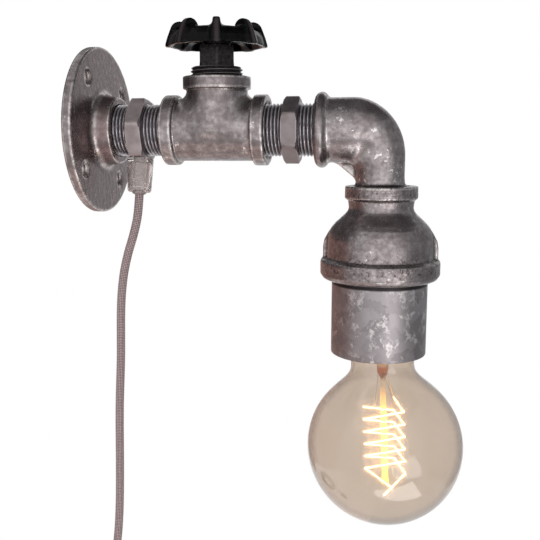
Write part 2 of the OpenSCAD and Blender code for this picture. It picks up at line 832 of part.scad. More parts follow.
module reducer() {
    neck_r = red_neck_d / 2;
    body_r = red_body_d / 2;
    band_r = red_band_d / 2;
    top_r = red_top_d / 2;
    socket_low = red_top - thread_engage - 2;
    seat = disc_top + fit_gap;
    ledge = 2;
    round_r = 1.5;
    cone = bezier([neck_r, red_cone_top], [neck_r + 1, red_cone_top - 4], [body_r - 1, red_body_top + 5],
        [body_r, red_body_top], 10);
    color(iron)
        translate([lamp_x, 0, 0])
            difference() {
                union() {
                    rotate_extrude($fn = 96)
                        polygon(concat([[0, red_top], [top_r - edge, red_top], [top_r, red_top - edge],
                            [top_r, red_neck_top + edge], [neck_r, red_neck_top - edge]], cone,
                            [[body_r, red_band_top + 2 * round_r], [band_r - round_r, red_band_top],
                            [band_r, red_band_top - round_r], [band_r, red_low + 2 * round_r],
                            [band_r - round_r, red_low + round_r / 2], [band_r - 2 * round_r, red_low],
                            [0, red_low]]));
                    for (side = [0, 180])
                        rotate([0, 0, side])
                            translate([0, -rib_w / 2, red_band_top])
                                cube([rib_reach, rib_w, red_body_h]);
                }
                translate([0, 0, socket_low])
                    cylinder(r = socket_r, h = red_top - socket_low + cut);
                translate([0, 0, seat])
                    cylinder(r1 = red_socket_r - ledge, r2 = socket_r - ledge / 2,
                        h = socket_low - seat + cut);
                translate([0, 0, red_low - cut])
                    cylinder(r = red_socket_r, h = seat - red_low + cut);
            }
}

module lamp_tube() {
    r = tube_d / 2;
    bore = r - tube_wall;
    bevel = 0.4;
    color(iron)
        translate([lamp_x, 0, 0])
            rotate_extrude($fn = 96)
                polygon([[bore, tube_top], [tube_thread_r, tube_top], [tube_thread_r, red_low],
                    [r, red_low - edge], [r, tube_low + bevel], [r - bevel, tube_low], [bore, tube_low]]);
}

module carrier_disc() {
    color(steel)
        translate([lamp_x, 0, tube_top])
            difference() {
                cylinder(r = tube_thread_r, h = disc_t);
                translate([0, 0, -cut])
                    cylinder(d = stud_d + 2 * fit_gap, h = disc_t + 2 * cut);
            }
}

module threaded_tube() {
    inside = 2;
    low = dome_top - dome_wall - inside;
    h = disc_top + stud_up - low;
    color(steel)
        translate([lamp_x, 0, low])
            difference() {
                cylinder(d = stud_d, h = h);
                translate([0, 0, -cut])
                    cylinder(d = stud_bore_d, h = h + 2 * cut);
            }
}

module carrier_nuts() {
    color(steel)
        for (z = [disc_top, tube_top - carrier_nut_h])
            translate([lamp_x, 0, z])
                difference() {
                    chamfered_hex(carrier_nut_af, carrier_nut_h);
                    translate([0, 0, -cut])
                        cylinder(d = stud_d + 2 * fit_gap, h = carrier_nut_h + 2 * cut);
                }
}

// Leans what hangs on the threaded tube about the middle of the dome's top
module hang() {
    translate([lamp_x, 0, dome_top])
        rotate([0, -hang_lean, 0])
            translate([-lamp_x, 0, -dome_top])
                children();
}

// Where the leaning axis is at a height
function hang_x(z) = lamp_x + (dome_top - z) * tan(hang_lean);

module holder_dome() {
    r = holder_d / 2;
    flat_r = r * 0.6;
    slope_low = dome_top - r * 0.4;
    hole_r = stud_d / 2 + fit_gap;
    color(black_plastic)
        hang()
            translate([lamp_x, 0, 0])
                rotate_extrude()
                    polygon([[hole_r, dome_top], [flat_r, dome_top], [r, slope_low], [r, dome_low],
                        [r - dome_wall, dome_low], [r - dome_wall, slope_low - dome_wall],
                        [flat_r, dome_top - dome_wall], [hole_r, dome_top - dome_wall]]);
}

module holder_base() {
    color("#e8e4da")
        hang()
            translate([lamp_x, 0, base_low])
                cylinder(r = holder_d / 2 - dome_wall - fit_gap, h = base_t);
}

terminal_y = 9;
terminal_size = [6, 5, 4];

module holder_terminals() {
    screw_d = 3;
    screw_out = 1;
    color(brass)
        hang()
            for (side = [-1, 1])
                translate([lamp_x, side * terminal_y, base_top]) {
                    translate([-terminal_size.x / 2, -terminal_size.y / 2, 0])
                        cube(terminal_size);
                    translate([0, 0, terminal_size.z])
                        cylinder(d = screw_d, h = screw_out);
                }
}

module holder_contact() {
    foot_t = 1;
    color(brass)
        hang()
            translate([lamp_x, 0, 0])
                union() {
                    translate([0, 0, base_low - foot_t])
                        cylinder(d = end_contact_d - 2 * foot_t, h = foot_t);
                    translate([0, 0, base_low - contact_h])
                        cylinder(d = end_contact_d - 4 * foot_t, h = contact_h - foot_t / 2);
                }
}

module holder_shell() {
    in_r = shell_d / 2;
    out_r = in_r + shell_wall;
    hole_r = end_contact_d / 2 + 2;
    low = base_low - shell_len;
    color(brass)
        hang()
            translate([lamp_x, 0, 0])
                rotate_extrude()
                    polygon([[hole_r, base_low], [out_r, base_low], [out_r, low], [in_r, low],
                        [in_r, base_low - shell_wall], [hole_r, base_low - shell_wall]]);
}

module holder_sleeve() {
    r = holder_d / 2;
    in_r = shell_d / 2 + shell_wall + fit_gap;
    top = base_low - fit_gap;
    low = dome_low - sleeve_len;
    color(black_plastic)
        hang()
            translate([lamp_x, 0, 0])
                rotate_extrude()
                    polygon([[in_r, top], [r - dome_wall, top], [r - dome_wall, dome_low], [r, dome_low],
                        [r, low], [in_r, low]]);
}

module bulb_contact() {
    color(steel)
        hang()
            translate([lamp_x, 0, bulb_top - end_contact_h])
                cylinder(d1 = end_contact_d, d2 = end_contact_d - 2, h = end_contact_h);
}

module bulb_insulator() {
    color("#1a1a24")
        hang()
            translate([lamp_x, 0, cap_top])
                cylinder(d1 = cap_d - 5, d2 = end_contact_d + 2, h = insulator_h);
}

cap_wall = 0.5;

module bulb_cap() {
    r = cap_d / 2;
    in_r = r - cap_wall;
    hole_r = r - 3;
    bevel = 1;
    top = cap_top - run_gap;
    side_top = top - 2 * bevel;
    color(brass)
        hang()
            translate([lamp_x, 0, 0])
                rotate_extrude()
                    polygon([[hole_r, top], [r - bevel, top], [r, side_top], [r, cap_low], [in_r, cap_low],
                        [in_r, side_top], [in_r - bevel, top - cap_wall], [hole_r, top - cap_wall]]);
}

// Outline of the glass from inside the cap down to the pole, drawn in by an offset
neck_len = 9.5;
function glass_line(off) =
    let (r = globe_d / 2 - off, n = bulb_neck_d / 2 - off, c = cap_d / 2 - cap_wall - fit_gap - off,
        join = 46, j = [r * cos(join), globe_z + r * sin(join)], z = cap_low - neck_len)
    concat([[c, cap_low + 6], [c, cap_low - 1], [n, cap_low - 4]],
        bezier([n, z], [n, z - 6], j + 9 * [-sin(join), cos(join)], j, 10),
        [for (i = [1 : 16]) let (a = join - (join + 90) * i / 16) [r * cos(a), globe_z + r * sin(a)]]);

module bulb_glass() {
    color("#d9b98a", 0.4)
        hang()
            translate([lamp_x, 0, 0])
                rotate_extrude($fn = 96)
                    polygon(concat(glass_line(0), reverse(glass_line(glass_t))));
}

stem_low = spiral_low + 3;
press_drop = 15;
press_low = cap_low - press_drop;
press_h = 6;
rod_r = 1.5;

module bulb_stem() {
    rim_r = cap_d / 2 - cap_wall - glass_t - 2 * fit_gap;
    wall = 1;
    out_r = 4;
    in_r = out_r - wall;
    color("#e6dccb", 0.5)
        hang()
            translate([lamp_x, 0, 0])
                union() {
                    rotate_extrude()
                        polygon([[rim_r - wall, cap_low + 4], [rim_r, cap_low + 4], [rim_r, cap_low + 2],
                            [out_r, cap_low - 5], [out_r, press_low + 4], [rod_r, press_low],
                            [rod_r, stem_low], [0, stem_low], [0, press_low + 5],
                            [in_r, press_low + 6], [in_r, cap_low - 4]]);
                    translate([-out_r, -rod_r, press_low + lap])
                        cube([2 * out_r, 2 * rod_r, press_h]);
                }
}

lead_d = 0.7;
function spiral_point(u) =
    [lamp_x + spiral_d / 2 * cos(360 * spiral_turns * u), spiral_d / 2 * sin(360 * spiral_turns * u),
    spiral_top - spiral_h * u];

module bulb_leads() {
    gap = 0.1;
    top = spiral_point(0);
    low = spiral_point(1);
    lift = [0, 0, (lead_d + filament_d) / 2 + gap];
    right = lamp_x + 2.5;
    left = lamp_x - 2.5;
    from = press_low + lap - gap;
    color(steel)
        hang() {
            swept_tube([[right, 0, from], [right + gap, 0, press_low - 2], [top.x - 3, 0, top.z + 6],
                top + lift + [-0.4, 0, 2], top + lift], lead_d, 6, [0, 1, 0]);
            swept_tube([[left, 0, from], [left, 0, press_low - 3], [left, 0, low.z + 8],
                [left - 1, 0, low.z + 4], low + lift + [0.4, 0, 2], low + lift], lead_d, 6, [0, 1, 0]);
        }
}

module filament() {
    rings = round(spiral_turns * 14);
    color("#ffb040")
        hang()
            swept_tube([for (i = [0 : rings]) spiral_point(i / rings)], filament_d, 6, [0, 0, 1]);
}

// Hooks on the glass rod that hold the spiral between its ends
module filament_hooks() {
    hook_d = 0.5;
    hook_turns = [1.25, 2.75, 4.25];
    gap = 0.1;
    from = rod_r + gap;
    to = spiral_d / 2 - (filament_d + hook_d) / 2 - gap;
    color(steel)
        hang()
            for (turn = hook_turns)
                let (a = 360 * turn, z = spiral_top - spiral_h * turn / spiral_turns)
                    translate([lamp_x, 0, z])
                        rotate([0, 0, a])
                            translate([from, 0, 0])
                                along_x()
                                    cylinder(d = hook_d, h = to - from, $fn = 16);
}

// Points on the bend's circle for a wire that turns down into the lamp head
function wire_bend(side) =
    [for (a = [0 : 18 : 90]) [bend_x + bend_r * sin(a), side, bend_r * cos(a) - bend_r]];

wire_gap = 0.3;
tag_low = switch_low - terminal_h - wire_gap;
wire_top = disc_top + stud_up + 4;
wire_low = dome_top - dome_wall - 3;
wire_end = base_top + terminal_size.z / 2;
wire_reach = terminal_y - terminal_size.y / 2 - wire_gap;

// The stretch of a wire from the bend to its terminal on one side of the lampholder
function wire_tail(side) = concat(wire_bend(side * 3), [[lamp_x, side * 3, wire_top + 4],
    [lamp_x, side * 2, wire_top], [lamp_x, side * 1.6, disc_top], [lamp_x, side * 1.6, wire_low + 1],
    [lamp_x, side * 2.2, wire_low - 1], [hang_x(wire_end), side * 3.6, wire_end + 1.5],
    [hang_x(wire_end), side * 5, wire_end + 0.2], [hang_x(wire_end), side * wire_reach, wire_end]]);

cord_core = [gland_x, -cord_from * sin(rear_turn), -cord_from * cos(rear_turn)];

module live_wire() {
    start = cord_core + [1.2, 0, 0];
    tag = tee_mid - terminal_at;
    color("#7a4a2a")
        swept_tube([start + [0, 0, 0.5], start + [0.1, 0.2, 2], start + [2, 0.2, 5.5], start + [6, 0, 7.5],
            [tee_x, -1.5, 0], [tee_mid - 14, -1.2, 0], [tag - 4, -0.6, tag_low - 3.5],
            [tag - 1, 0, tag_low - 1.5], [tag, 0, tag_low]], wire_d, 8, [0, 1, 0]);
}

module switched_wire() {
    tag = tee_mid + terminal_at;
    color("#3a3a3c")
        swept_tube(concat([[tag, 0, tag_low], [tag + 1, 0, tag_low - 1.5], [tag + 4, -0.6, tag_low - 3.5],
            [tee_mid + 14, -1.8, 0], [tee_end, -3, 0], [front_hex_x, -3, 0], [elbow_x, -3, 0]],
            wire_tail(-1)), wire_d, 8, [0, 1, 0]);
}

module neutral_wire() {
    start = cord_core + [-1.2, 0, 0];
    color("#3f6fa8")
        swept_tube(concat([start + [0, 0, 0.5], start + [0, 0.4, 2], start + [1, 1.6, 3.5],
            start + [4, 3.4, 4], [tee_x, 4, -4], [tee_mid - 14, 4, -4], [tee_mid, 4, -4],
            [tee_mid + 14, 4, -3.4], [tee_end, 3.6, -2], [front_hex_x, 3.2, -1], [front_hex_end, 3, -0.3],
            [elbow_x, 3, 0]], wire_tail(1)), wire_d, 8, [0, 1, 0]);
}

module cord_run() {
    color(cord_colour)
        swept_tube(cord_route, cord_d, 8, [0, 1, 0]);
}

// Radius, layer and place of the coil's centreline after turning through an angle
function coil_r(q) =
    q < spiral_angle ? coil_out_r - coil_step * q / 360
    : q < spiral_angle + climb_angle ? coil_in_r - climb_dip * sin(180 * (q - spiral_angle) / climb_angle)
    : coil_in_r + coil_step * (q - spiral_angle - climb_angle) / 360;
function coil_layer(q) = layer_step * ease(min(max((q - spiral_angle) / climb_angle, 0), 1));
function coil_point(q) =
    let (a = coil_start + q) coil_at + [coil_layer(q), coil_r(q) * cos(a), coil_r(q) * sin(a)];
coil_count = round(loop_rings * coil_angle / 360);
coil_first = coil_point(0);
coil_last = coil_point(coil_angle);
first_way = unit(coil_point(1) - coil_first);
last_way = [0, 0, -1];
coil_path = concat([coil_first - cord_d * first_way],
    [for (i = [0 : coil_count]) coil_point(coil_angle * i / coil_count)], [coil_last + cord_d * last_way]);
coil_gap = min([for (i = [0 : len(coil_path) - 1], j = [i + 10 : 1 : len(coil_path) - 1])
    norm(coil_path[i] - coil_path[j])]) - cord_d;
spiral_gap = spiral_h / spiral_turns - filament_d;
echo(coil_least_gap_mm = coil_gap, filament_least_gap_mm = spiral_gap);
echo(cord_length_mm = path_length(cord_route) + path_length(coil_path) + lead_drop - cord_d);

module cord_coil() {
    color(cord_colour)
        swept_tube(coil_path, cord_d, 6, [1, 0, 0]);
}

module cord_lead() {
    top = coil_path[len(coil_path) - 1];
    low = [lead_end.x, lead_end.y, grip_low];
    steps = 4;
    color(cord_colour)
        swept_tube([for (i = [0 : steps]) top + (low - top) * i / steps], cord_d, 8, [1, 0, 0]);
}

// A strap round all the turns on the coil's far side
module cord_tie() {
    slack = 0.4;
    band_t = 1;
    band_w = 6;
    x0 = coil_at.x - cord_d / 2 - slack;
    x1 = coil_at.x + layer_step + cord_d / 2 + slack;
    y0 = coil_at.y + coil_in_r - cord_d / 2;
    y1 = coil_at.y + coil_out_r + cord_d / 2 - coil_step / 2 + slack;
    color(black_plastic)
        translate([0, 0, coil_at.z - band_w / 2])
            difference() {
                translate([x0 - band_t, y0 - band_t, 0])
                    cube([x1 - x0 + 2 * band_t, y1 - y0 + 2 * band_t, band_w]);
                translate([x0, y0, -cut])
                    cube([x1 - x0, y1 - y0, band_w + 2 * cut]);
            }
}

module plug_body() {
    shoulder = 8;
    top_w = 14;
    bevel = 2;
    w = plug_w / 2;
    color(black_plastic)
        translate([lead_end.x + plug_t / 2, lead_end.y, grip_low])
            rotate([90, 0, -90])
                linear_extrude(plug_t)
                    polygon([[-top_w / 2, 0], [top_w / 2, 0], [w, -shoulder], [w, bevel - plug_h],
                        [w - bevel, -plug_h], [bevel - w, -plug_h], [-w, bevel - plug_h], [-w, -shoulder]]);
}

module plug_pins() {
    color(steel)
        for (side = [-1, 1])
            translate([lead_end.x, lead_end.y + side * pin_gap / 2, grip_low - plug_h - pin_len])
                cylinder(d = pin_d, h = pin_len);
}

module plug_grip() {
    thick_end = 2.5;
    thin_end = 1;
    color(black_plastic)
        translate([lead_end.x, lead_end.y, grip_low])
            difference() {
                cylinder(d1 = cord_d + 2 * thick_end, d2 = cord_d + 2 * thin_end, h = grip_h);
                translate([0, 0, -cut])
                    cylinder(d = cord_bore_d, h = grip_h + 2 * cut);
            }
}

wall_flange();
rear_nipple();
gland_body();
gland_sleeve();
gland_collet();
tee();
bonnet_bush();
neck_nut();
switch_case();
switch_base();
switch_track();
switch_terminals();
switch_wiper();
wheel_shaft();
handwheel();
wheel_washer();
wheel_nut();
front_nipple();
street_elbow();
reducer();
lamp_tube();
carrier_disc();
threaded_tube();
carrier_nuts();
holder_dome();
holder_base();
holder_terminals();
holder_contact();
holder_shell();
holder_sleeve();
bulb_contact();
bulb_insulator();
bulb_cap();
bulb_glass();
bulb_stem();
bulb_leads();
filament();
filament_hooks();
live_wire();
switched_wire();
neutral_wire();
cord_run();
cord_coil();
cord_lead();
cord_tie();
plug_body();
plug_pins();
plug_grip();
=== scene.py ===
# %% [markdown]
# # A pipe wall light
# The real lamp is an arm of threaded iron pipe fittings on a round wall flange. A valve handwheel
# on the tee works a rotary switch, and a globe bulb hangs below a reducer and a short tube.
# The CAD model is loaded first and stays fixed. Each new piece is worked out in millimetres in the
# same frame, +X out from the wall and +Z up, and then rides on the body that it belongs to.

# %% Load the fixed frame
import bmesh
import bpy
import numpy as np
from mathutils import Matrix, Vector


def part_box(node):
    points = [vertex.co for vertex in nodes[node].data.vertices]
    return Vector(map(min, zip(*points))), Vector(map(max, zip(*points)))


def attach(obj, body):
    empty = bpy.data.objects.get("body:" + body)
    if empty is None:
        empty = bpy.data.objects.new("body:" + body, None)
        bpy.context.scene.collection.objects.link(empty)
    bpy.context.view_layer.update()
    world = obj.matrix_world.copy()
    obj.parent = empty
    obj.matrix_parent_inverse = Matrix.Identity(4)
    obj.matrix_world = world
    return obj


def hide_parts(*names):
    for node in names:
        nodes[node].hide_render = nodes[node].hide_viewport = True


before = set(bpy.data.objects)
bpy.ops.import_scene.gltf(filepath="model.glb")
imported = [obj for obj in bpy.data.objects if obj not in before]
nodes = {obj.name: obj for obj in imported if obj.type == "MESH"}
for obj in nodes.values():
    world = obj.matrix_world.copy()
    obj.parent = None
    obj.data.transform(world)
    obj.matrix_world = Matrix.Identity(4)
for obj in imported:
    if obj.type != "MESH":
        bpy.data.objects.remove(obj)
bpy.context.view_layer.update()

MM = 0.001

# %% [markdown]
# ## The camera
# The camera stands where the photograph was taken from: a little to the right of the arm's middle,
# about 40 cm away, and just below the arm, looking slightly down. A lens of 52 mm on a 36 mm sensor
# gives the photograph's perspective, so the flange is seen at a slant and the wheel from below.

# %% Camera at the photograph's place
def placed(name, data):
    """A new object at the scene's origin."""
    thing = bpy.data.objects.new(name, data)
    bpy.context.scene.collection.objects.link(thing)
    return thing


camera_data = bpy.data.cameras.new("camera")
camera_data.lens, camera_data.sensor_width = 52, 36
camera = placed("camera", camera_data)
camera.location = (0.1665, -0.3946, -0.0064)
camera.rotation_euler = np.radians((80.75, 0, 10.5))
bpy.context.scene.camera = camera
print("camera", tuple(camera.location))

# %% [markdown]
# ## Grids that become meshes
# Most pieces are a grid of points: rows along the piece and columns around it. One function lists the
# grid's faces, and one turns points and faces into a mesh. Doubled points at poles are merged, and the
# faces are made to look outwards, because a grid that closes on itself can come out inside out.

# %% Faces of a grid
def around(count):
    """Angles at equal steps round a circle."""
    return np.linspace(0, 2 * np.pi, count, endpoint=False)


def grid_faces(rows, cols, loop_rows=False):
    """Each face joins two neighbours in a row to the same two in the next row; rows close round."""
    i, j = np.meshgrid(np.arange(rows if loop_rows else rows - 1), np.arange(cols), indexing="ij")
    k, l = (i + 1) % rows, (j + 1) % cols
    return np.stack([i * cols + j, i * cols + l, k * cols + l, k * cols + j], -1).reshape(-1, 4)


print("three rows of four points make", len(grid_faces(3, 4)), "faces")

# %% Points and faces become a piece
WELD = 0.002 * MM


def weld(mesh):
    """Merges doubled points and turns all faces outwards."""
    work = bmesh.new()
    work.from_mesh(mesh)
    bmesh.ops.remove_doubles(work, verts=work.verts, dist=WELD)
    bmesh.ops.recalc_face_normals(work, faces=work.faces)
    work.to_mesh(mesh)
    work.free()


def add_piece(name, points, body, stands_for=(), faces=None, marks=None, uv=None, sharp=None):
    """Millimetre points become a welded mesh that rides on a body; marks are numbers per point.

    Without faces, the points are a grid whose rows and columns both close.
    """
    if faces is None:
        faces = grid_faces(*points.shape[:2], True)
    points = np.asarray(points, float).reshape(-1, 3)
    mesh = bpy.data.meshes.new(name)
    mesh.vertices.add(len(points))
    mesh.vertices.foreach_set("co", (points * MM).astype(np.float32).ravel())
    mesh.loops.add(faces.size)
    mesh.loops.foreach_set("vertex_index", faces.astype(np.int32).ravel())
    mesh.polygons.add(len(faces))
    mesh.polygons.foreach_set("loop_start", np.arange(len(faces), dtype=np.int32) * faces.shape[1])
    for key, values in (marks or {}).items():
        mark = mesh.attributes.new(key, "FLOAT", "POINT")
        mark.data.foreach_set("value", values.astype(np.float32).ravel())
    if uv is not None:
        mesh.uv_layers.new(name="weave").data.foreach_set("uv", uv.astype(np.float32).ravel())
    mesh.update(calc_edges=True)
    weld(mesh)
    mesh.shade_smooth()
    if sharp:
        mesh.set_sharp_from_angle(angle=np.radians(sharp))
    piece = placed(name, mesh)
    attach(piece, body)
    if stands_for:
        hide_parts(*stands_for)
    print(name, len(mesh.vertices), "points", len(mesh.polygons), "faces")
    return piece


print("points closer than", WELD / MM, "mm are merged")

# %% [markdown]
# ### Rings, turned outlines and smooth lines
# A cord or wire is a ring carried along a path, and a turned part is an outline swung round an axis.
# Blender's curve objects and its Screw modifier could do both. Arrays give the same shapes and keep each
# point's place known, so a pattern or a mark can follow it.

# %% Helpers for rings and lines
def carried_ring(path, radius, cols):
    """A circle carried along a path, square to it, turned to the axis along which the path spreads least."""
    path = np.asarray(path, float)
    way = np.gradient(path, axis=0)
    way /= np.linalg.norm(way, axis=1, keepdims=True)
    side = np.cross(way, np.eye(3)[np.ptp(path, axis=0).argmin()])
    side /= np.linalg.norm(side, axis=1, keepdims=True)
    up = np.cross(way, side)
    angle = around(cols)[None, :, None]
    return path[:, None] + radius * (np.cos(angle) * side[:, None] + np.sin(angle) * up[:, None])


def capped(rings):
    """Closes a carried ring at both ends by drawing a last ring together to its middle."""
    first, last = rings[:1].mean(1, keepdims=True), rings[-1:].mean(1, keepdims=True)
    cols = rings.shape[1]
    return np.concatenate([np.repeat(first, cols, 1), rings, np.repeat(last, cols, 1)])


def turned(profile, cols, middle_x=0, middle_y=0):
    """Radius and height turned round an upright axis: a point goes to radius times cosine and sine."""
    profile = np.asarray(profile, float)
    angle = around(cols)
    return np.stack([middle_x + profile[:, :1] * np.cos(angle), middle_y + profile[:, :1] * np.sin(angle),
                     np.repeat(profile[:, 1:], cols, 1)], -1)


def smooth_line(points, step):
    """A curve through points, each stretch a cubic that leaves and arrives along its neighbours' chord."""
    p = np.asarray(points, float)
    p = np.vstack([2 * p[0] - p[1], p, 2 * p[-1] - p[-2]])
    t = np.linspace(0, 1, 24, endpoint=False)[:, None]
    a, b, c, d = p[:-3, None], p[1:-2, None], p[2:-1, None], p[3:, None]
    line = 0.5 * (2 * b + (c - a) * t + (2 * a - 5 * b + 4 * c - d) * t ** 2
                  + (3 * b - a - 3 * c + d) * t ** 3)
    line = np.vstack([line.reshape(-1, p.shape[1]), p[-2]])
    along = np.concatenate([[0], np.cumsum(np.linalg.norm(np.diff(line, axis=0), axis=1))])
    even = np.linspace(0, along[-1], int(along[-1] / step) + 2)
    return np.stack([np.interp(even, along, line[:, k]) for k in range(p.shape[1])], 1)


print("a line of 10 mm in steps of 1 mm has", len(smooth_line([[0, 0], [10, 0]], 1)), "points")

# %% [markdown]
# ## Colours and shader nodes
# Colours are written as they look on a screen, and one function turns them to the linear numbers that
# the renderer works in. One small function adds a shader node with its settings and its links. Inputs
# that share a name go by number: a Mix takes its factor at 0 and its colours at 6 and 7, and a Map Range
# takes its value at 0, the range that it comes from at 1 and 2, and the one that it goes to at 3 and 4.

# %% Helpers for materials
def linear(code):
    """Screen value to light: divided by 12.92 when small, and otherwise raised to the power 2.4."""
    s = np.array([int(code[i:i + 2], 16) for i in (1, 3, 5)]) / 255
    return (*np.where(s <= 0.04045, s / 12.92, ((s + 0.055) / 1.055) ** 2.4), 1.0)


def add(tree, kind, inputs=(), stops=None, **settings):
    """One node: an input takes a value, an output, or a node's first live output; stops colour a ramp."""
    node = tree.nodes.new("ShaderNode" + kind)
    for key, value in settings.items():
        setattr(node, key, value)
    for key, value in inputs.items() if isinstance(inputs, dict) else enumerate(inputs):
        if isinstance(value, bpy.types.Node):
            value = next(out for out in value.outputs if out.enabled)
        if isinstance(value, bpy.types.NodeSocket):
            tree.links.new(value, node.inputs[key])
        else:
            node.inputs[key].default_value = value
    if stops:
        places = node.color_ramp.elements
        places[0].position, places[1].position = stops[0][0], stops[-1][0]
        places[0].color, places[1].color = linear(stops[0][1]), linear(stops[-1][1])
        for position, code in stops[1:-1]:
            places.new(position).color = linear(code)
    return node


def new_material(name):
    """An empty material, its node tree, and the piece's own coordinates in metres."""
    material = bpy.data.materials.new(name)
    material.use_nodes = True
    material.node_tree.nodes.clear()
    return material, material.node_tree, add(material.node_tree, "TexCoord").outputs["Object"]


def dress(material, *pieces):
    """A new piece gets its first material; a CAD node gets it in its own slot."""
    for piece in pieces:
        if piece.material_slots:
            piece.material_slots[0].material = material
        else:
            piece.data.materials.append(material)
    print(material.name, "on", [piece.name for piece in pieces])


print("middle grey of a screen is", round(linear("#808080")[0], 3), "of white's light")

# %% [markdown]
# ## The braided cord
# A round mains cord in a grey textile braid comes out of the gland, hangs down the wall and leaves the
# picture. The rest is put away below, in a tied coil near the wall, and ends in a flat two-pin plug.
# The route repeats the CAD model's points, and the coil is worked out from the same radii: it winds
# inwards in one layer, steps across, and winds outwards in the next.

# %% Route of the cord's free length
route = np.array([
    [25.5, -1.7, -7.8], [25.5, -4, -18.8], [25.5, -6.2, -29.3], [25.4, -7.4, -36], [24.6, -8.5, -45],
    [22.5, -9.3, -54], [19.4, -9.8, -64], [17, -10, -74], [15.4, -10, -85], [14.6, -10, -96],
    [14.2, -10, -108], [13.8, -10, -120], [13.1, -10, -132], [12.4, -10, -144], [11.9, -10, -156],
    [11.6, -10, -168], [11.3, -10, -180], [10.9, -10, -192], [10.4, -10.1, -204], [9.7, -10.6, -216],
    [8.7, -11.9, -228], [7.4, -14.2, -240], [6, -17.1, -251], [4.8, -20, -261], [4.1, -22.8, -270]])
print("free length from", route[0], "to", route[-1])

# %% Coil, lead to the plug, and the whole length
coil_middle, coil_inner, coil_pitch, layer_step = np.array([4, 10, -284.0]), 17.5, 5, 5
turn_total, climb, coil_start, dip = 8 * 360 + 15, 180, 165, 1.2
wind = (turn_total - climb) / 2
coil_outer = coil_inner + coil_pitch * wind / 360
wound = np.linspace(0, turn_total, 8 * 36)
crossing = np.clip((wound - wind) / climb, 0, 1)
inwards = coil_outer - coil_pitch * wound / 360
outwards = coil_inner + coil_pitch * np.clip(wound - wind - climb, 0, None) / 360
outwards -= dip * np.sin(np.pi * crossing)
coil_r, coil_turn = np.where(wound < wind, inwards, outwards), np.radians(coil_start + wound)
coil = coil_middle + np.stack([layer_step * crossing ** 2 * (3 - 2 * crossing),
                               coil_r * np.cos(coil_turn), coil_r * np.sin(coil_turn)], 1)
plug_x, plug_y, grip_top, grip_low = 9.0, coil_middle[1] - coil_outer, -328.0, -352.0
lead_z = np.linspace(-292, grip_low, 7)
lead = np.stack([plug_x + 0 * lead_z, plug_y + 0 * lead_z, lead_z], 1)
cord_path = smooth_line(np.vstack([route, coil, lead]), 1.4)
cord_length = np.linalg.norm(np.diff(cord_path, axis=0), axis=1).sum()
print("cord length mm", round(cord_length, 1), "points", len(cord_path))

# %% Cord with a map that follows the braid
cord_d, cord_cols = 4.5, 14
rings = carried_ring(cord_path, cord_d / 2, cord_cols)
cord_faces = grid_faces(len(rings) + 2, cord_cols)
row, col = np.divmod(np.arange(len(cord_faces)), cord_cols)
braid_round = np.stack([col, col + 1, col + 1, col], 1) / cord_cols
braid_along = np.stack([row, row, row + 1, row + 1], 1) * (cord_length / len(cord_path)) / (np.pi * cord_d)
cord = add_piece("braided_cord", capped(rings), "fixture", ("cord_run", "cord_coil", "cord_lead"),
                 cord_faces, uv=np.stack([braid_round, braid_along], -1))

# %% [markdown]
# ### Plug and its pins
# The plug is moulded in one go over the cord's end: its body is a rounded box that narrows to the cord,
# and its strain relief a taper with grooves, so that it bends. A box with bevels would do for the body,
# but rounded sections drawn down the cord give its soft shoulders too. Each pin is a turned rod with an
# insulated root.

# %% Plug body, as rounded sections drawn down the cord
def bowed(c):
    """A circle's sine or cosine pushed outwards by a power below one, which squares the circle."""
    return np.sign(c) * np.abs(c) ** 0.42


plug_long, neck_long, edge_long, plug_rows, plug_cols = 34, 9, 1.6, 34, 64
down = np.linspace(0, plug_long, plug_rows)[:, None]
neck_in = np.clip(1 - down / neck_long, 0, 1) ** 1.6
edge_in = np.clip(down - plug_long + edge_long, 0, 2) ** 2 / 2.6
half_wide, half_thick = 17.5 - 10.5 * neck_in - 1.6 * edge_in, 6.85 - 2.3 * neck_in - 1.0 * edge_in
plug_turn = around(plug_cols)
sections = np.stack([plug_x + half_thick * bowed(np.sin(plug_turn)),
                     plug_y + half_wide * bowed(np.cos(plug_turn)),
                     np.repeat(grip_low - down, plug_cols, 1)], -1)
plug = add_piece("plug_shell", capped(sections), "fixture", ("plug_body",),
                 grid_faces(plug_rows + 2, plug_cols))

# %% Strain relief
grip_long, groove_count, cord_hole_r, grip_cols = grip_top - grip_low, 6, 2.45, 32
up_grip = np.linspace(0, grip_long, 97)
groove = np.clip(np.sin(up_grip / grip_long * 2 * np.pi * groove_count) * 3, 0, 1)
groove *= np.clip((up_grip - 2) / 2, 0, 1)
grip_r = 4.75 - 1.5 * up_grip / grip_long - 0.45 * groove
grip_line = np.vstack([[cord_hole_r, grip_low], np.stack([grip_r, grip_low + up_grip], 1),
                       [cord_hole_r, grip_top]])
grip = add_piece("strain_relief", turned(grip_line, grip_cols, plug_x, plug_y), "fixture",
                 ("plug_grip",), sharp=50)

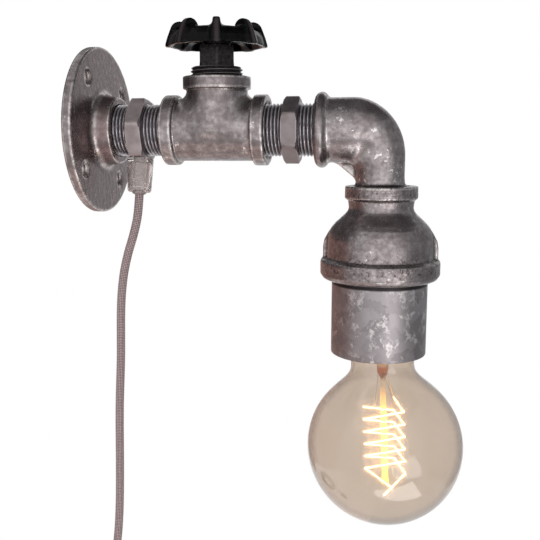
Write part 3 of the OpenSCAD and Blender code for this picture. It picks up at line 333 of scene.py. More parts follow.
# %% Pins
pin_top, pin_long, pin_gap, pin_cols = grip_low - plug_long, 19, 9.5, 24
root_r, root_long, pin_r, tip_r = 2, 9.5, 1.9, 1.2
pin_low = pin_top - pin_long
tip = np.linspace(0, np.pi / 2, 7)
pin_tip = np.stack([pin_r - tip_r + tip_r * np.cos(tip), pin_low + tip_r - tip_r * np.sin(tip)], 1)
pin_line = np.vstack([[0, pin_top], [root_r, pin_top], [root_r, pin_top - root_long],
                      [pin_r, pin_top - root_long - 0.1], [pin_r, pin_low + tip_r], pin_tip, [0, pin_low]])
pin_pair = np.stack([turned(pin_line, pin_cols, plug_x, plug_y + side * pin_gap) for side in (-1, 1)])
pin_faces = grid_faces(len(pin_line), pin_cols)
pin_faces = np.vstack([pin_faces, pin_faces + len(pin_line) * pin_cols])
pins = add_piece("pins", pin_pair, "fixture", ("plug_pins",), pin_faces, sharp=40)

# %% [markdown]
# ### Tie
# A strap holds the coil's turns together. It is a flat band bent round them, so its outline is a rectangle
# with round corners, and its small section, with eased edges, is carried round that outline.

# %% Tie round all the turns
tie_low, tie_high = [np.array(corner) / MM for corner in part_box("cord_tie")]
tie_middle, tie_half = (tie_low + tie_high) / 2, (tie_high - tie_low) / 2
tie_cols, tie_r = 48, 2.2
tie_turn = around(tie_cols)
quarter = np.floor(tie_turn / (np.pi / 2)) * np.pi / 2 + np.pi / 4
tie_section = np.array([(0, -2.6), (0, 2.6), (0.3, 3), (0.9, 3),
                        (0.95, 2.6), (0.95, -2.6), (0.9, -3), (0.3, -3)])
bend_r = tie_r - tie_section[:, :1]
corner_x = tie_middle[0] + np.sign(np.cos(quarter)) * (tie_half[0] - tie_r)
corner_y = tie_middle[1] + np.sign(np.sin(quarter)) * (tie_half[1] - tie_r)
strap = np.stack([corner_x + bend_r * np.cos(tie_turn), corner_y + bend_r * np.sin(tie_turn),
                  np.repeat(tie_middle[2] + tie_section[:, 1:], tie_cols, 1)], -1)
tie = add_piece("coil_strap", strap, "fixture", ("cord_tie",), sharp=50)

# %% [markdown]
# ### Braid
# The braid is polyester yarn: strands cross in two diagonals, over and under, and each crossing is a
# small raised lozenge. Two sine waves that lean either way on the cord's map, multiplied, give such a
# checked field. With eight strands each way round, a lozenge is about 1.8 mm long, a little coarser than
# the real one so that it shows.

# %% Polyester braid
# The eye gets a matt grey that breaks into dark gaps and pale crowns of yarn.
braid, tree, spot = new_material("polyester_braid")
place = add(tree, "SeparateXYZ", [add(tree, "UVMap", uv_map="weave")])
strand_turns = 8 * 2 * np.pi
waves = []
for sign in (1.0, -1.0):
    slant = add(tree, "Math", [place.outputs[1], sign, place.outputs[0]], operation="MULTIPLY_ADD")
    wave_turn = add(tree, "Math", [slant, strand_turns], operation="MULTIPLY")
    waves.append(add(tree, "Math", [wave_turn], operation="SINE"))
checks = add(tree, "Math", [waves[0], waves[1]], operation="MULTIPLY")
raised = add(tree, "MapRange", [checks, -1.0, 1.0])
fuzz = add(tree, "TexNoise", {"Vector": spot, "Scale": 1 / (1.2 * MM), "Detail": 3.0})
yarn = add(tree, "Math", [fuzz, 0.35, raised], operation="MULTIPLY_ADD")
# The tone follows the yarn's height: painted shade in the gaps between strands and a painted highlight on the
# crowns.
tone = add(tree, "ValToRGB", {"Fac": yarn}, stops=[(0.2, "#382d2f"), (0.6, "#927b7c"), (1.0, "#dac3c3")])
bump = add(tree, "Bump", {"Height": yarn, "Strength": 0.6, "Distance": 0.3 * MM})
cloth = add(tree, "BsdfPrincipled", {"Base Color": tone, "Roughness": 0.75, "Sheen Weight": 0.08,
                                     "Normal": bump})
add(tree, "OutputMaterial", {"Surface": cloth})
dress(braid, cord)

# %% [markdown]
# ### Moulded plastic and plated steel
# Plug, grip and strap are soft black PVC. The mould was spark-eroded, which leaves a fine even grain, here
# 0.9 mm so that it shows. The pins, and later the nuts and washers inside, are steel with a thin zinc
# plating: a clear metal with patches that are a little more or less polished.

# %% Black plastic
# The eye gets a soft black with a broad dull shine.
black_plastic, tree, spot = new_material("moulded_black_pvc")
grain = add(tree, "TexNoise", {"Vector": spot, "Scale": 1 / (0.9 * MM), "Detail": 4.0})
bump = add(tree, "Bump", {"Height": grain, "Strength": 0.12, "Distance": 0.1 * MM})
tone = add(tree, "ValToRGB", {"Fac": grain}, stops=[(0.3, "#19181a"), (0.7, "#262527")])
moulded = add(tree, "BsdfPrincipled", {"Base Color": tone, "Roughness": 0.42, "Normal": bump})
add(tree, "OutputMaterial", {"Surface": moulded})
dress(black_plastic, plug, grip, tie)

# %% Plated steel
# The eye gets a pale clean metal with uneven polish.
steel, tree, spot = new_material("zinc_plated_steel")
patches = add(tree, "TexNoise", {"Vector": spot, "Scale": 1 / (1.5 * MM), "Detail": 5.0})
tone = add(tree, "ValToRGB", {"Fac": patches}, stops=[(0.3, "#9b9a9c"), (0.7, "#c4c3c4")])
rough = add(tree, "MapRange", {0: patches, 3: 0.22, 4: 0.42})
plated = add(tree, "BsdfPrincipled", {"Base Color": tone, "Metallic": 1.0, "Roughness": rough})
add(tree, "OutputMaterial", {"Surface": plated})
dress(steel, pins)

# %% [markdown]
# ## Cast fittings as blended solids
# A malleable-iron fitting comes from a sand mould: cylinders and bands run into each other in soft
# fillets, and no edge is quite sharp. A grid cannot follow a tee, and Blender's Boolean modifier leaves
# hard seams, so these pieces are written as a distance: negative inside the iron, positive outside. Two
# solids join with a smooth minimum, which is the fillet.

# %% Distances
def rod(p, axis, middle, radius, low, high, soft=0.0):
    """Distance to a cylinder: the larger of the gaps to its side and its ends, with its edge rounded."""
    others = [k for k in range(3) if k != axis]
    side = np.hypot(p[..., others[0]] - middle[0], p[..., others[1]] - middle[1]) - radius + soft
    ends = np.abs(p[..., axis] - (low + high) / 2) - (high - low) / 2 + soft
    return np.minimum(np.maximum(side, ends), 0) + np.hypot(np.maximum(side, 0), np.maximum(ends, 0)) - soft


def join(a, b, k):
    """Smooth minimum: the smaller distance, less a bit where both are within k of each other."""
    h = np.clip(k - np.abs(a - b), 0, None) / k
    return np.minimum(a, b) - h * h * k / 4


def outline(u, v, corners):
    """Distance to a polygon: to the nearest edge, negative when an odd number of edges lies to one side."""
    corners = np.asarray(corners, float)
    nearest, inside = np.full(u.shape, 1e9), np.zeros(u.shape, bool)
    for (au, av), (bu, bv) in zip(corners, np.roll(corners, -1, 0)):
        du, dv = bu - au, bv - av
        t = np.clip(((u - au) * du + (v - av) * dv) / (du * du + dv * dv), 0, 1)
        nearest = np.minimum(nearest, (u - au - t * du) ** 2 + (v - av - t * dv) ** 2)
        if dv:
            inside ^= ((av > v) != (bv > v)) & (u < (v - av) * du / dv + au)
    return np.where(inside, -1, 1) * np.sqrt(nearest)


print("from a point at 3 mm to a rod of 2 mm:", rod(np.array([0, 3.0, 0]), 0, (0, 0), 2, -5, 5), "mm")

# %% [markdown]
# ### A net over the zero distance
# A net of points is drawn over the place where the distance is zero: one point in each small cell that the
# surface crosses. A few neighbours' means then ease the net, as sand eases a casting. The distance a
# little way in and out of each point tells where edges stand out, which are worn and painted lighter as
# highlight, and where the surface sinks into creases, which are painted darker as shade.

# %% Net of faces
def slope(field, p, h=0.04):
    """How fast the distance grows along x, y and z, from two samples on each."""
    return np.stack([field(p + step) - field(p - step) for step in np.eye(3) * h], -1) / (2 * h)


def net(field, low, high, cell):
    """A point in each cell that the surface crosses, at its crossings' mean; a face round each such edge."""
    low = np.asarray(low, float)
    axes = [np.arange(a, b + cell, cell) for a, b in zip(low, high)]
    f = field(np.stack(np.meshgrid(*axes, indexing="ij"), -1))
    n = np.array(f.shape)
    total, count, edges = np.zeros((*(n - 1), 3)), np.zeros(n - 1), []
    ring = ((0, 0), (1, 0), (1, 1), (0, 1))
    for axis in range(3):
        a, b = np.moveaxis(f, axis, 0)[:-1], np.moveaxis(f, axis, 0)[1:]
        a, b = np.moveaxis(a, 0, axis), np.moveaxis(b, 0, axis)
        crossed = (a < 0) != (b < 0)
        where = np.stack(np.meshgrid(*[np.arange(k) for k in a.shape], indexing="ij"), -1).astype(float)
        where[..., axis] += np.where(crossed, a / np.where(a == b, 1, a - b), 0)
        u, v = [k for k in range(3) if k != axis]
        for du, dv in ring:
            window = [slice(None)] * 3
            window[u], window[v] = slice(du, du + n[u] - 1), slice(dv, dv + n[v] - 1)
            total += np.where(crossed[tuple(window)][..., None], where[tuple(window)], 0)
            count += crossed[tuple(window)]
        edges.append((axis, u, v, crossed, a < 0))
    number = np.full(n - 1, -1)
    number[count > 0] = np.arange((count > 0).sum())
    one, faces = np.eye(3, dtype=int), []
    for axis, u, v, crossed, leaving in edges:
        at = np.argwhere(crossed)
        quad = np.stack([number[tuple((at - one[u] * du - one[v] * dv).T)] for du, dv in ring], 1)
        flip = leaving[tuple(at.T)] == (axis != 1)
        faces.append(np.where(flip[:, None], quad, quad[:, ::-1]))
    points = low + cell * total[count > 0] / count[count > 0][:, None]
    for _ in range(3):
        g = slope(field, points)
        points = points - np.clip(field(points) / np.maximum((g * g).sum(-1), 0.05), -cell, cell)[:, None] * g
    return points, np.vstack(faces)


ball = net(lambda p: np.linalg.norm(p, axis=-1) - 3, (-4, -4, -4), (4, 4, 4), 0.5)
print("the net of a ball of 6 mm has", len(ball[1]), "faces")

# %% Softened castings with marks
REACH, LONG_EASE = 1.4, 80


def soften(points, faces, times):
    """Each point moves half way to the mean of its neighbours, which rounds the edges as sand does."""
    ends = np.vstack([faces[:, [0, 1]], faces[:, [1, 2]], faces[:, [2, 3]], faces[:, [3, 0]]])
    share = np.bincount(ends[:, 0], minlength=len(points))[:, None]
    for _ in range(times):
        total = [np.bincount(ends[:, 0], points[ends[:, 1], k], len(points)) for k in range(3)]
        points = (points + np.stack(total, 1) / share) / 2
    return points


def cast(name, solid, bores, low, high, cell, body, stands_for, times=2, ease=None, shade_edit=None,
         lightened=None, marked=None):
    """The net of a solid without its bores, softened, more where eased, with marks for worn and highlit edges
    and painted shade in creases.
    """
    def field(p):
        """The larger of the solid's distance and the bores' turned round."""
        return np.maximum(solid(p), -bores(p)) if bores else solid(p)

    points, faces = net(field, low, high, cell)
    points = soften(points, faces, times)
    eased = ease(points) if ease else np.zeros(len(points))
    if ease:
        points = points + eased[:, None] * (soften(points, faces, LONG_EASE) - points)
    normal = slope(field, points)
    normal /= np.linalg.norm(normal, axis=1, keepdims=True)
    # Painted shade: where iron lies a little way out along the normal, the point is in a crease and gets
    # darker.
    hollow = np.clip(1 - solid(points + REACH * normal) / REACH, 0, 1) * (1 - eased)
    hollow = shade_edit(points, hollow) if shade_edit else hollow
    # Worn edges with a painted highlight: where air lies a little way in, the point is on an edge and gets
    # lighter.
    wear_and_highlight = np.clip(1 + solid(points - REACH * normal) / REACH, 0, 1) * (1 - hollow) * (1 - eased)
    marks = {"hollow": hollow, "wear_and_highlight": np.maximum(wear_and_highlight, lightened(points)) if lightened else wear_and_highlight}
    marks.update({key: mark(points) for key, mark in (marked or {}).items()})
    return add_piece(name, points, body, stands_for, faces, marks)


print("edges and hollows are felt", REACH, "mm in and out of the surface")

# %% [markdown]
# ### Wall flange
# The flange is a round plate with a threaded boss in its middle and four countersunk screw holes. It is
# one blended solid: plate and boss join in a fillet, and the holes and the bore are cut out of it. The
# boss tapers a little, as castings do so that they leave the mould.

# %% Wall flange
MOUTH_R = 13.4
plate_r, plate_thick, screw_circle, screw_r, sink_from = 42.5, 5, 32.5, 3, 3.5
screw_turn = np.radians(36.5 + 90 * np.arange(4))
boss_line = [(0, 2), (18.6, 2), (17.1, 13.4), (16.5, 14), (0, 14)]


def flange_solid(p):
    """Plate joined to a tapering boss, with a flat back."""
    boss = outline(np.hypot(p[..., 1], p[..., 2]), p[..., 0], boss_line)
    return np.maximum(join(rod(p, 0, (0, 0), plate_r, 0, plate_thick, 0.7), boss, 4.0), -p[..., 0])


def from_hole(p):
    """How far a point is from the nearest screw hole's axis."""
    return np.min([np.hypot(p[..., 1] + screw_circle * np.sin(a), p[..., 2] - screw_circle * np.cos(a))
                   for a in screw_turn], 0)


def flange_bores(p):
    """The bore, and four holes that widen towards the front."""
    holes = (from_hole(p) - screw_r - np.clip(p[..., 0] - sink_from, 0, 2)) * 0.8
    return np.minimum(np.hypot(p[..., 1], p[..., 2]) - MOUTH_R, holes)


# The screw holes get no painted shade and are painted lighter instead.
flange = cast("flange_casting", flange_solid, flange_bores, (-1.5, -44, -44), (15.5, 44, 44), 0.5, "fixture",
              ("wall_flange",), shade_edit=lambda p, h: np.where(from_hole(p) < 5.6, 0, h),
              lightened=lambda p: np.clip(5 - from_hole(p), 0, 1),
              marked={"oiled": lambda p: np.clip((p[:, 0] - 3) / 1.5, 0, 1)})

# %% [markdown]
# ### Tee
# The tee's run and branch are two pipes of nearly one size that meet in a wide fillet, with a raised band at
# each of the three mouths. Bands on castings swell out of the pipe, so they join it softly too.

# %% Tee
TEE_X = 66
tee_half, tee_top, band_wide, mouth_deep = 26.5, 26.7, 6.5, 13
run_r, branch_r, band_r, top_band_r, passage_r, side_passage_r = 15.5, 15.3, 17.75, 17.25, 12.6, 12


def tee_solid(p):
    """Run and branch joined, then the three bands, with flat mouths."""
    run = rod(p, 0, (0, 0), run_r, TEE_X - tee_half, TEE_X + tee_half, 0.4)
    solid = join(run, rod(p, 2, (TEE_X, 0), branch_r, 0, tee_top, 0.4), 6)
    for low in (TEE_X - tee_half, TEE_X + tee_half - band_wide):
        solid = join(solid, rod(p, 0, (0, 0), band_r, low, low + band_wide, 0.6), 1.4)
    solid = join(solid, rod(p, 2, (TEE_X, 0), top_band_r, 20.4, tee_top, 0.5), 1.4)
    return np.maximum(solid, np.maximum(np.abs(p[..., 0] - TEE_X) - tee_half, p[..., 2] - tee_top))


def tee_bores(p):
    """The run's passage, which widens at its mouths, the branch's passage, and three threaded mouths."""
    along = np.abs(p[..., 0] - TEE_X)
    run = 0.8 * (np.hypot(p[..., 1], p[..., 2]) - passage_r - np.clip(along - 24, 0, 4))
    mouths = np.minimum(rod(p, 0, (0, 0), MOUTH_R, 38, TEE_X - tee_half + mouth_deep),
                        rod(p, 0, (0, 0), MOUTH_R, TEE_X + tee_half - mouth_deep, 94))
    branch = np.minimum(rod(p, 2, (TEE_X, 0), side_passage_r, 0, 27),
                        rod(p, 2, (TEE_X, 0), MOUTH_R, tee_top - mouth_deep, 28))
    return np.minimum(np.minimum(run, mouths), branch)


tee = cast("tee_casting", tee_solid, tee_bores, (38, -19.5, -19.5), (94, 19.5, 28.5), 0.55, "fixture",
           ("tee",), times=1)

# %% [markdown]
# ### Elbow
# The street elbow starts with a round bead at its socket and bends down while it narrows to its leg. A
# second, thinner bend rounds the inside corner, and a small web stiffens it. A bend's distance is taken
# from the nearest point of its centre line, with a radius that eases from the body's to the leg's.

# %% Elbow
face_x, bend_x, bend_z, bend_radius = 117, 136.4, -13, 13
leg_x, body_r, leg_r, leg_low, bend_bore_r = 149.4, 16, 11.9, -39.8, 9
bead_x, bead_middle_r, bead_r, web_half = 120, 15.75, 3, 1.3
inner_x, inner_z, inner_bend, inner_r = 132, -21.5, 15.5, 10
web_line = [(126.6, -14), (127.2, -16.2), (137.2, -24.4), (140, -24.4), (140, -14)]


def from_bend(p, middle_x, middle_z, radius):
    """Angle round a bend, 0 at the body and a quarter turn at the leg, and distance from its centre line."""
    x, z = p[..., 0] - middle_x, p[..., 2] - middle_z
    a = np.clip(np.arctan2(x, z), 0, np.pi / 2)
    return a, np.sqrt((x - radius * np.sin(a)) ** 2 + p[..., 1] ** 2 + (z - radius * np.cos(a)) ** 2)


def elbow_solid(p):
    """Body, bead, bend, leg, web and collar joined, with a flat mouth."""
    x, y, z = p[..., 0], p[..., 1], p[..., 2]
    a, line = from_bend(p, bend_x, bend_z, bend_radius)
    u = (a / (np.pi / 2)) ** 0.75
    bend = line - (body_r - (body_r - leg_r) * u * u * (3 - 2 * u))
    solid = join(rod(p, 0, (0, 0), body_r, face_x, bend_x), rod(p, 2, (leg_x, 0), leg_r, leg_low, bend_z), 3)
    inner = from_bend(p, inner_x, inner_z, inner_bend)[1] - inner_r
    solid = join(np.minimum(solid, bend), inner, 3)
    ring = np.hypot(np.hypot(y, z) - bead_middle_r, x - bead_x) - bead_r
    solid = join(solid, np.minimum(ring, rod(p, 0, (0, 0), body_r, 117.4, 122)), 1.8)
    solid = join(solid, np.maximum(np.abs(y) - web_half, outline(x, z, web_line)), 1.2)
    collar = np.hypot(x - leg_x, y) - leg_r - 2.0 * np.clip((-25.2 - z) / 2.6, 0, 1) ** 2
    return np.maximum(join(solid, np.maximum(collar * 0.8, np.maximum(z + 24.5, -28.4 - z)), 0.6), face_x - x)


def elbow_bores(p):
    """The socket, and a bore that follows body, bend and leg."""
    x, y, z = p[..., 0], p[..., 1], p[..., 2]
    a, line = from_bend(p, bend_x, bend_z, bend_radius)
    past = np.where(a >= np.pi / 2, np.hypot(x - leg_x, y), line)
    bore = np.where(a <= 0, np.hypot(y, z), past) - bend_bore_r
    return np.minimum(bore, rod(p, 0, (0, 0), MOUTH_R, 115, 130))


def inside_corner(p):
    """One in the corner on both sides of the web, and falling to nought 13 mm away from it."""
    away = np.hypot(p[:, 0] - 137.5, p[:, 2] + 12)
    return np.clip(1.8 - away / 7, 0, 1) * np.clip((np.abs(p[:, 1]) - 2.5) / 2, 0, 1)


# On the elbow the painted shade is weaker, and a dark band runs round the leg's lower end, where it enters
# the reducer.
elbow = cast("elbow_casting", elbow_solid, elbow_bores, (115.5, -20, -41), (164.5, 20, 20), 0.6, "fixture",
             ("street_elbow",), ease=inside_corner,
             shade_edit=lambda p, h: np.maximum(0.55 * h, np.clip((-26.2 - p[:, 2]) / 0.7, 0, 1)),
             marked={"flecked": lambda p: np.clip((p[:, 0] - 123) / 2, 0, 1)})

# %% [markdown]
# ### Reducer
# The reducer steps from the elbow's thread to the wide tube: a top band, a neck, a cone, a shoulder
# with a rib on each side, and a wide band below. Its outline is a polygon turned round the lamp's axis,
# and the ribs, which a turned outline can't have, are joined to it.

# %% Reducer
LAMP_X = 150
top_band_z, wide_band_z = -31, -66
reducer_line = [(13.4, -27.5), (18.1, -27.5), (18.2, -33.4), (16.5, -34.9), (16.1, -38.2), (16.5, -39.8),
                (17.7, -41.4), (19.9, -43.4), (22.4, -45.7), (24.5, -48.2), (25.8, -50.8), (26.5, -53.6),
                (26.8, -57), (26.9, -63.4), (29.8, -64.8), (30.1, -65.7), (30.1, -71.4), (28.8, -73.5),
                (27.0, -74.4), (23.5, -74.4), (23.5, -56.3), (21.5, -56.3), (12.4, -41.8), (13.4, -41.8)]
rib_line = [(23.5, -49.0), (26.2, -51.4), (28.2, -54.6), (28.8, -58.0), (28.8, -64.8), (23.5, -64.8)]


def reducer_solid(p):
    """The turned outline joined to two upright ribs."""
    x, y, z = p[..., 0] - LAMP_X, p[..., 1], p[..., 2]
    rib = outline(np.abs(x), z, rib_line)
    return join(outline(np.hypot(x, y), z, reducer_line), np.maximum(np.abs(y) - 2.2, rib), 1.4)


def reducer_shade_and_ring(p, hollow):
    """Painted shade in hollows, and a dark ring on the top face inside the band, round the elbow's leg."""
    across = np.hypot(p[:, 0] - LAMP_X, p[:, 1])
    return np.maximum(hollow, np.clip((p[:, 2] + 28.2) / 0.4, 0, 1) * np.clip((17.9 - across) / 0.6, 0, 1))


def on_bands(p):
    """One on both bands, where gas leaves pits in the casting, and little elsewhere."""
    away = np.minimum(np.abs(p[:, 2] - top_band_z), np.abs(p[:, 2] - wide_band_z))
    return np.clip(1.6 - away / 5, 0.15, 1)


reducer = cast("reducer_casting", reducer_solid, None, (118.5, -31.5, -75.8), (181.5, 31.5, -26.4), 0.62,
               "fixture", ("reducer",), times=1, shade_edit=reducer_shade_and_ring,
               marked={"pitted": on_bands})

# %% [markdown]
# ### Handwheel
# The wheel is a dished cast ring with eight round finger fins, four spokes and a hub. All fins are the
# same, so a point is first turned into the nearest fin's sector, and only one fin is written down. The
# rim is drawn in between the fins, like an octagon with soft sides, by measuring its radius that way.

# %% Handwheel
fins, spokes, rest_turn, fin_round = 8, 4, np.radians(14.3), 0.9
fin_u, fin_z, fin_r = 18.4, 48.8, 4.7
dish_line = [(25.4, 41.4), (25.1, 42.6), (24.2, 45.6), (22.6, 48.2), (20.2, 49.4), (17.4, 49.4), (17.4, 46.6),
             (19.8, 46.6), (21.4, 45.4), (22.6, 43.4), (23.6, 41.4)]
fin_turn = np.radians(np.linspace(22, 180, 15))
fin_arc = np.stack([fin_u + fin_r * np.cos(fin_turn), fin_z + fin_r * np.sin(fin_turn)], 1)
fin_line = np.vstack([[25.2, 42.0], fin_arc, [13.7, 46.9], [22.3, 42.0]])
hub_r, hub_z, spoke_half, spoke_z, spoke_out, shaft_r = 7, 44.95, 3, 46.2, 18, 3.05


def folded(x, y, count, offset):
    """A point turned by whole sectors until it lies in the first one."""
    sector = 2 * np.pi / count
    a = np.arctan2(y, x) - offset
    a = a - sector * np.round(a / sector)
    r = np.hypot(x, y)
    return r * np.cos(a), r * np.sin(a)


def wheel_solid(p):
    """Dish, fins, spokes and hub joined."""
    x, y, z = p[..., 0] - TEE_X, p[..., 1], p[..., 2]
    r = np.hypot(x, y)
    side, _ = folded(x, y, fins, rest_turn + np.pi / fins)
    solid = outline(0.35 * r + 0.65 * side / np.cos(np.pi / fins), z, dish_line)
    u, v = folded(x, y, fins, rest_turn)
    flat, wide = outline(u, z, fin_line) + fin_round, np.abs(v) - 2.2 + fin_round + 0.06 * (z - 47)
    outside = np.hypot(np.maximum(flat, 0), np.maximum(wide, 0))
    solid = join(solid, np.minimum(np.maximum(flat, wide), 0) + outside - fin_round, 2.4)
    u, v = folded(x, y, spokes, rest_turn + np.pi / spokes)
    spoke = np.maximum(np.maximum(np.abs(v) - spoke_half, np.abs(z - spoke_z) - 1.5), u - spoke_out)
    return join(join(solid, spoke, 1.6), np.maximum(r - hub_r, np.abs(z - hub_z) - 2.75), 1.6)


def wheel_bore(p):
    """The hole for the switch's shaft."""
    return np.hypot(p[..., 0] - TEE_X, p[..., 1]) - shaft_r


def fin_ridge_highlight(p):
    """One along the outer ridge of each fin, where a highlight is painted, and nought elsewhere."""
    u, v = folded(p[:, 0] - TEE_X, p[:, 1], fins, rest_turn)
    return np.clip(1.3 - np.abs(v) / 1.4, 0, 1) * np.clip((u - 20.5) / 1.5, 0, 1)


wheel = cast("handwheel_casting", wheel_solid, wheel_bore, (39.5, -26.5, 40), (92.5, 26.5, 55), 0.48, "wheel",
             ("handwheel",), marked={"handled": fin_ridge_highlight})

# %% [markdown]
# ## Threaded nipples
# A nipple is one turned bar: pipe thread at both ends and a hexagon in the middle to hold it by. The
# thread is a radius on a grid, a saw tooth that moves one pitch along for each turn round, so it is a
# real helix. The hexagon is a radius too, the distance to its nearest flat, cut by a cone at both ends.

# %% Thread and hexagon as radii
PITCH, CREST, ROOT, BAR_COLS = 1.814, 13.2, 12.1, 144
bar_turn = around(BAR_COLS)


def thread(along):
    """Height of a right-hand thread all round, 0 at its root and 1 at its crest, at places along the bar."""
    tooth = 1 - np.abs(2 * ((along / PITCH - bar_turn / (2 * np.pi)) % 1) - 1)
    return np.clip((tooth - 0.1) / 0.8, 0, 1)


def hexagon(across, turn):
    """Distance from the middle to a hexagon's flats all round, with corners eased."""
    sector = np.pi / 3
    away = bar_turn - turn - sector * np.round((bar_turn - turn) / sector)
    return np.minimum(across / 2 / np.cos(away), across / 2 / np.cos(np.pi / 6) - 0.25)


print("thread depth", round(CREST - ROOT, 2), "mm; a hexagon of 30 mm has",
      round(hexagon(30, 0).max() * 2, 1), "mm over its corners")

# %% Two nipples
def nipple(name, start, hex_low, hex_high, end, across, turn, shown, shine, stands_for):
    """Rows along the bar: bore, thread, hexagon, thread and bore, each with its radius all round.

    The thread is cut only where it is shown, and shine is how much light is painted on the hexagon's faces.
    """
    bevel = np.array([0, 0.2, 0.5, 0.8])
    rear_turns, front_turns = [np.arange(low, high, PITCH / 12) for low, high in shown]
    parts = [("bore", [start]), ("root", [start]), ("thread", rear_turns), ("root", [hex_low]),
             ("hex", hex_low + bevel), ("hex", hex_high - bevel[::-1]), ("root", [hex_high]),
             ("thread", front_turns), ("root", [end]), ("bore", [end])]
    along = np.concatenate([rows for _, rows in parts])[:, None]
    kind = np.repeat([kind for kind, _ in parts], [len(rows) for _, rows in parts])[:, None]
    tooth = thread(along) * np.clip(np.minimum(np.abs(along - hex_low), np.abs(along - hex_high)) / 1.2, 0, 1)
    edge = np.minimum(along - hex_low, hex_high - along)
    prism = np.minimum(hexagon(across, turn), across / 2 + 0.6 + edge / 0.5)
    radius = np.select([kind == "bore", kind == "root", kind == "thread"],
                       [10.0 + 0 * tooth, ROOT + 0 * tooth, ROOT + (CREST - ROOT) * tooth], prism)
    # Painted light on the hexagon: its level, and more towards its edges.
    hex_painted_light = shine + np.clip(1 - edge / 0.6, 0, 1) + 0 * tooth
    marks = {"crest": np.select([kind == "thread", kind == "hex"], [tooth, hex_painted_light], 0.0)}
    points = np.stack([along + 0 * radius, radius * np.cos(bar_turn), radius * np.sin(bar_turn)], -1)
    return add_piece(name, points, "fixture", stands_for, marks=marks, sharp=28)


gland_lean = np.radians(12)
# The rear hexagon is painted lighter than the front one.
rear = nipple("rear_bar", 2, 21.5, 29.5, 51.5, 30, np.pi / 2 - gland_lean, ((13, 21.5), (29.6, 41)), 3.0,
              ("rear_nipple",))
front = nipple("front_bar", 80.5, 101, 109, 129, 29.5, 0, ((91, 101), (109.1, 118.5)), 2.0, ("front_nipple",))

# %% [markdown]
# ## Bonnet bush and neck
# Under the wheel a black threaded bush closes the tee's branch and holds the switch, and a hexagonal
# neck stands on it. The bush is the same helix, standing upright, with a chamfer at its top, and its rows
# go on through the crown and down the bore, so that the grid closes. The neck is the same hexagon.

# %% Bush and neck
bush_low, bush_top = 14.7, 31.4
bush_z = np.concatenate([[bush_low], np.arange(26, bush_top, PITCH / 14), [bush_top]])[:, None]
bush_tooth = thread(bush_z)
chamfer = CREST - 1.2 * np.clip((bush_z - 30.6) / 0.8, 0, 1)
crown = np.array([[5.1, bush_top], [5.1, 28.4], [9.5, 28.4], [9.5, bush_low]])
bush_r = np.minimum(ROOT + (CREST - ROOT) * bush_tooth, chamfer)
bush_r = np.vstack([bush_r, np.repeat(crown[:, :1], BAR_COLS, 1)])
bush_z = np.vstack([bush_z, crown[:, 1:]])
bush_tooth = np.vstack([bush_tooth, np.zeros((len(crown), BAR_COLS))])


def standing(radius, height):
    """Radii all round at heights, on the wheel's axis."""
    return np.stack([TEE_X + radius * np.cos(bar_turn), radius * np.sin(bar_turn), height + 0 * radius], -1)


bush = add_piece("bush_thread", standing(bush_r, bush_z), "fixture", ("bonnet_bush",),
                 marks={"crest": bush_tooth}, sharp=28)
neck_z = np.array([bush_top, 31.5, 32.2, 34, 37, 40, 41.3, 41.9, 41.9, 38.5, 38.5, bush_top])[:, None]
neck_bore = np.array([0] * 8 + [3.3, 3.3, 5.1, 5.1])[:, None]
foot, top_edge = np.clip((33.5 - neck_z) / 2, 0, 1), np.clip((neck_z - 41.2) / 0.7, 0, 1)
flats = hexagon(17, rest_turn) + 0.25 * foot - 0.35 * top_edge
neck = add_piece("neck_hexagon", standing(np.where(neck_bore > 0, neck_bore, flats), neck_z), "fixture",
                 ("neck_nut",), sharp=28)

# %% [markdown]
# ## Lamp tube
# A short length of plain galvanised tube is screwed into the reducer and hides the lampholder. It is a
# turned outline with a slightly rounded lower lip. A mark tells where a shadow of the band is painted on the
# tube's top.

# %% Lamp tube
tube_r, bore_r, lip_z, tube_cols, shadow_z = 24.15, 21.15, -112.2, 128, -77.1
lip, lip_r = np.linspace(0, np.pi, 9), (tube_r - bore_r) / 2
tube_lip = np.stack([bore_r + lip_r + lip_r * np.cos(lip), lip_z - 0.6 * np.sin(lip)], 1)
tube_line = np.vstack([[bore_r, -58.5], [23.3, -58.5], [23.3, -74.3], [tube_r, -74.6], [tube_r, -76.3],
                       [tube_r, shadow_z], [tube_r, -90], [tube_r, -105], tube_lip, [bore_r, -105],
                       [bore_r, -90]])
# Painted shadow of the reducer's band: one from the tube's top down to just below the band, fading out over
# 0.8 mm.
band_shadow = np.repeat(np.clip((tube_line[:, 1:] - shadow_z) / 0.8, 0, 1), tube_cols, 1)
tube = add_piece("lamp_tube_skin", turned(tube_line, tube_cols, LAMP_X), "fixture",
                 ("lamp_tube",), marks={"band_shadow": band_shadow}, sharp=40)

# %% [markdown]
# ## Finishes of the iron
# The fittings are malleable iron, hot-dip galvanised and then dulled with oil: a mottled grey skin with
# warm brown shadows. Zinc leaves clouds about 10 mm wide and a mottle of 2 to 3 mm, and their sum goes
# through a narrow range of greys. The flange's front is browner with oil, and the elbow paler with zinc,
# so marks on the meshes shift the tone there.

# %% Cast iron: fields of noise and marks
# The eye gets a satin grey metal, clouded and never even.
cast_iron, tree, spot = new_material("galvanised_malleable_iron")
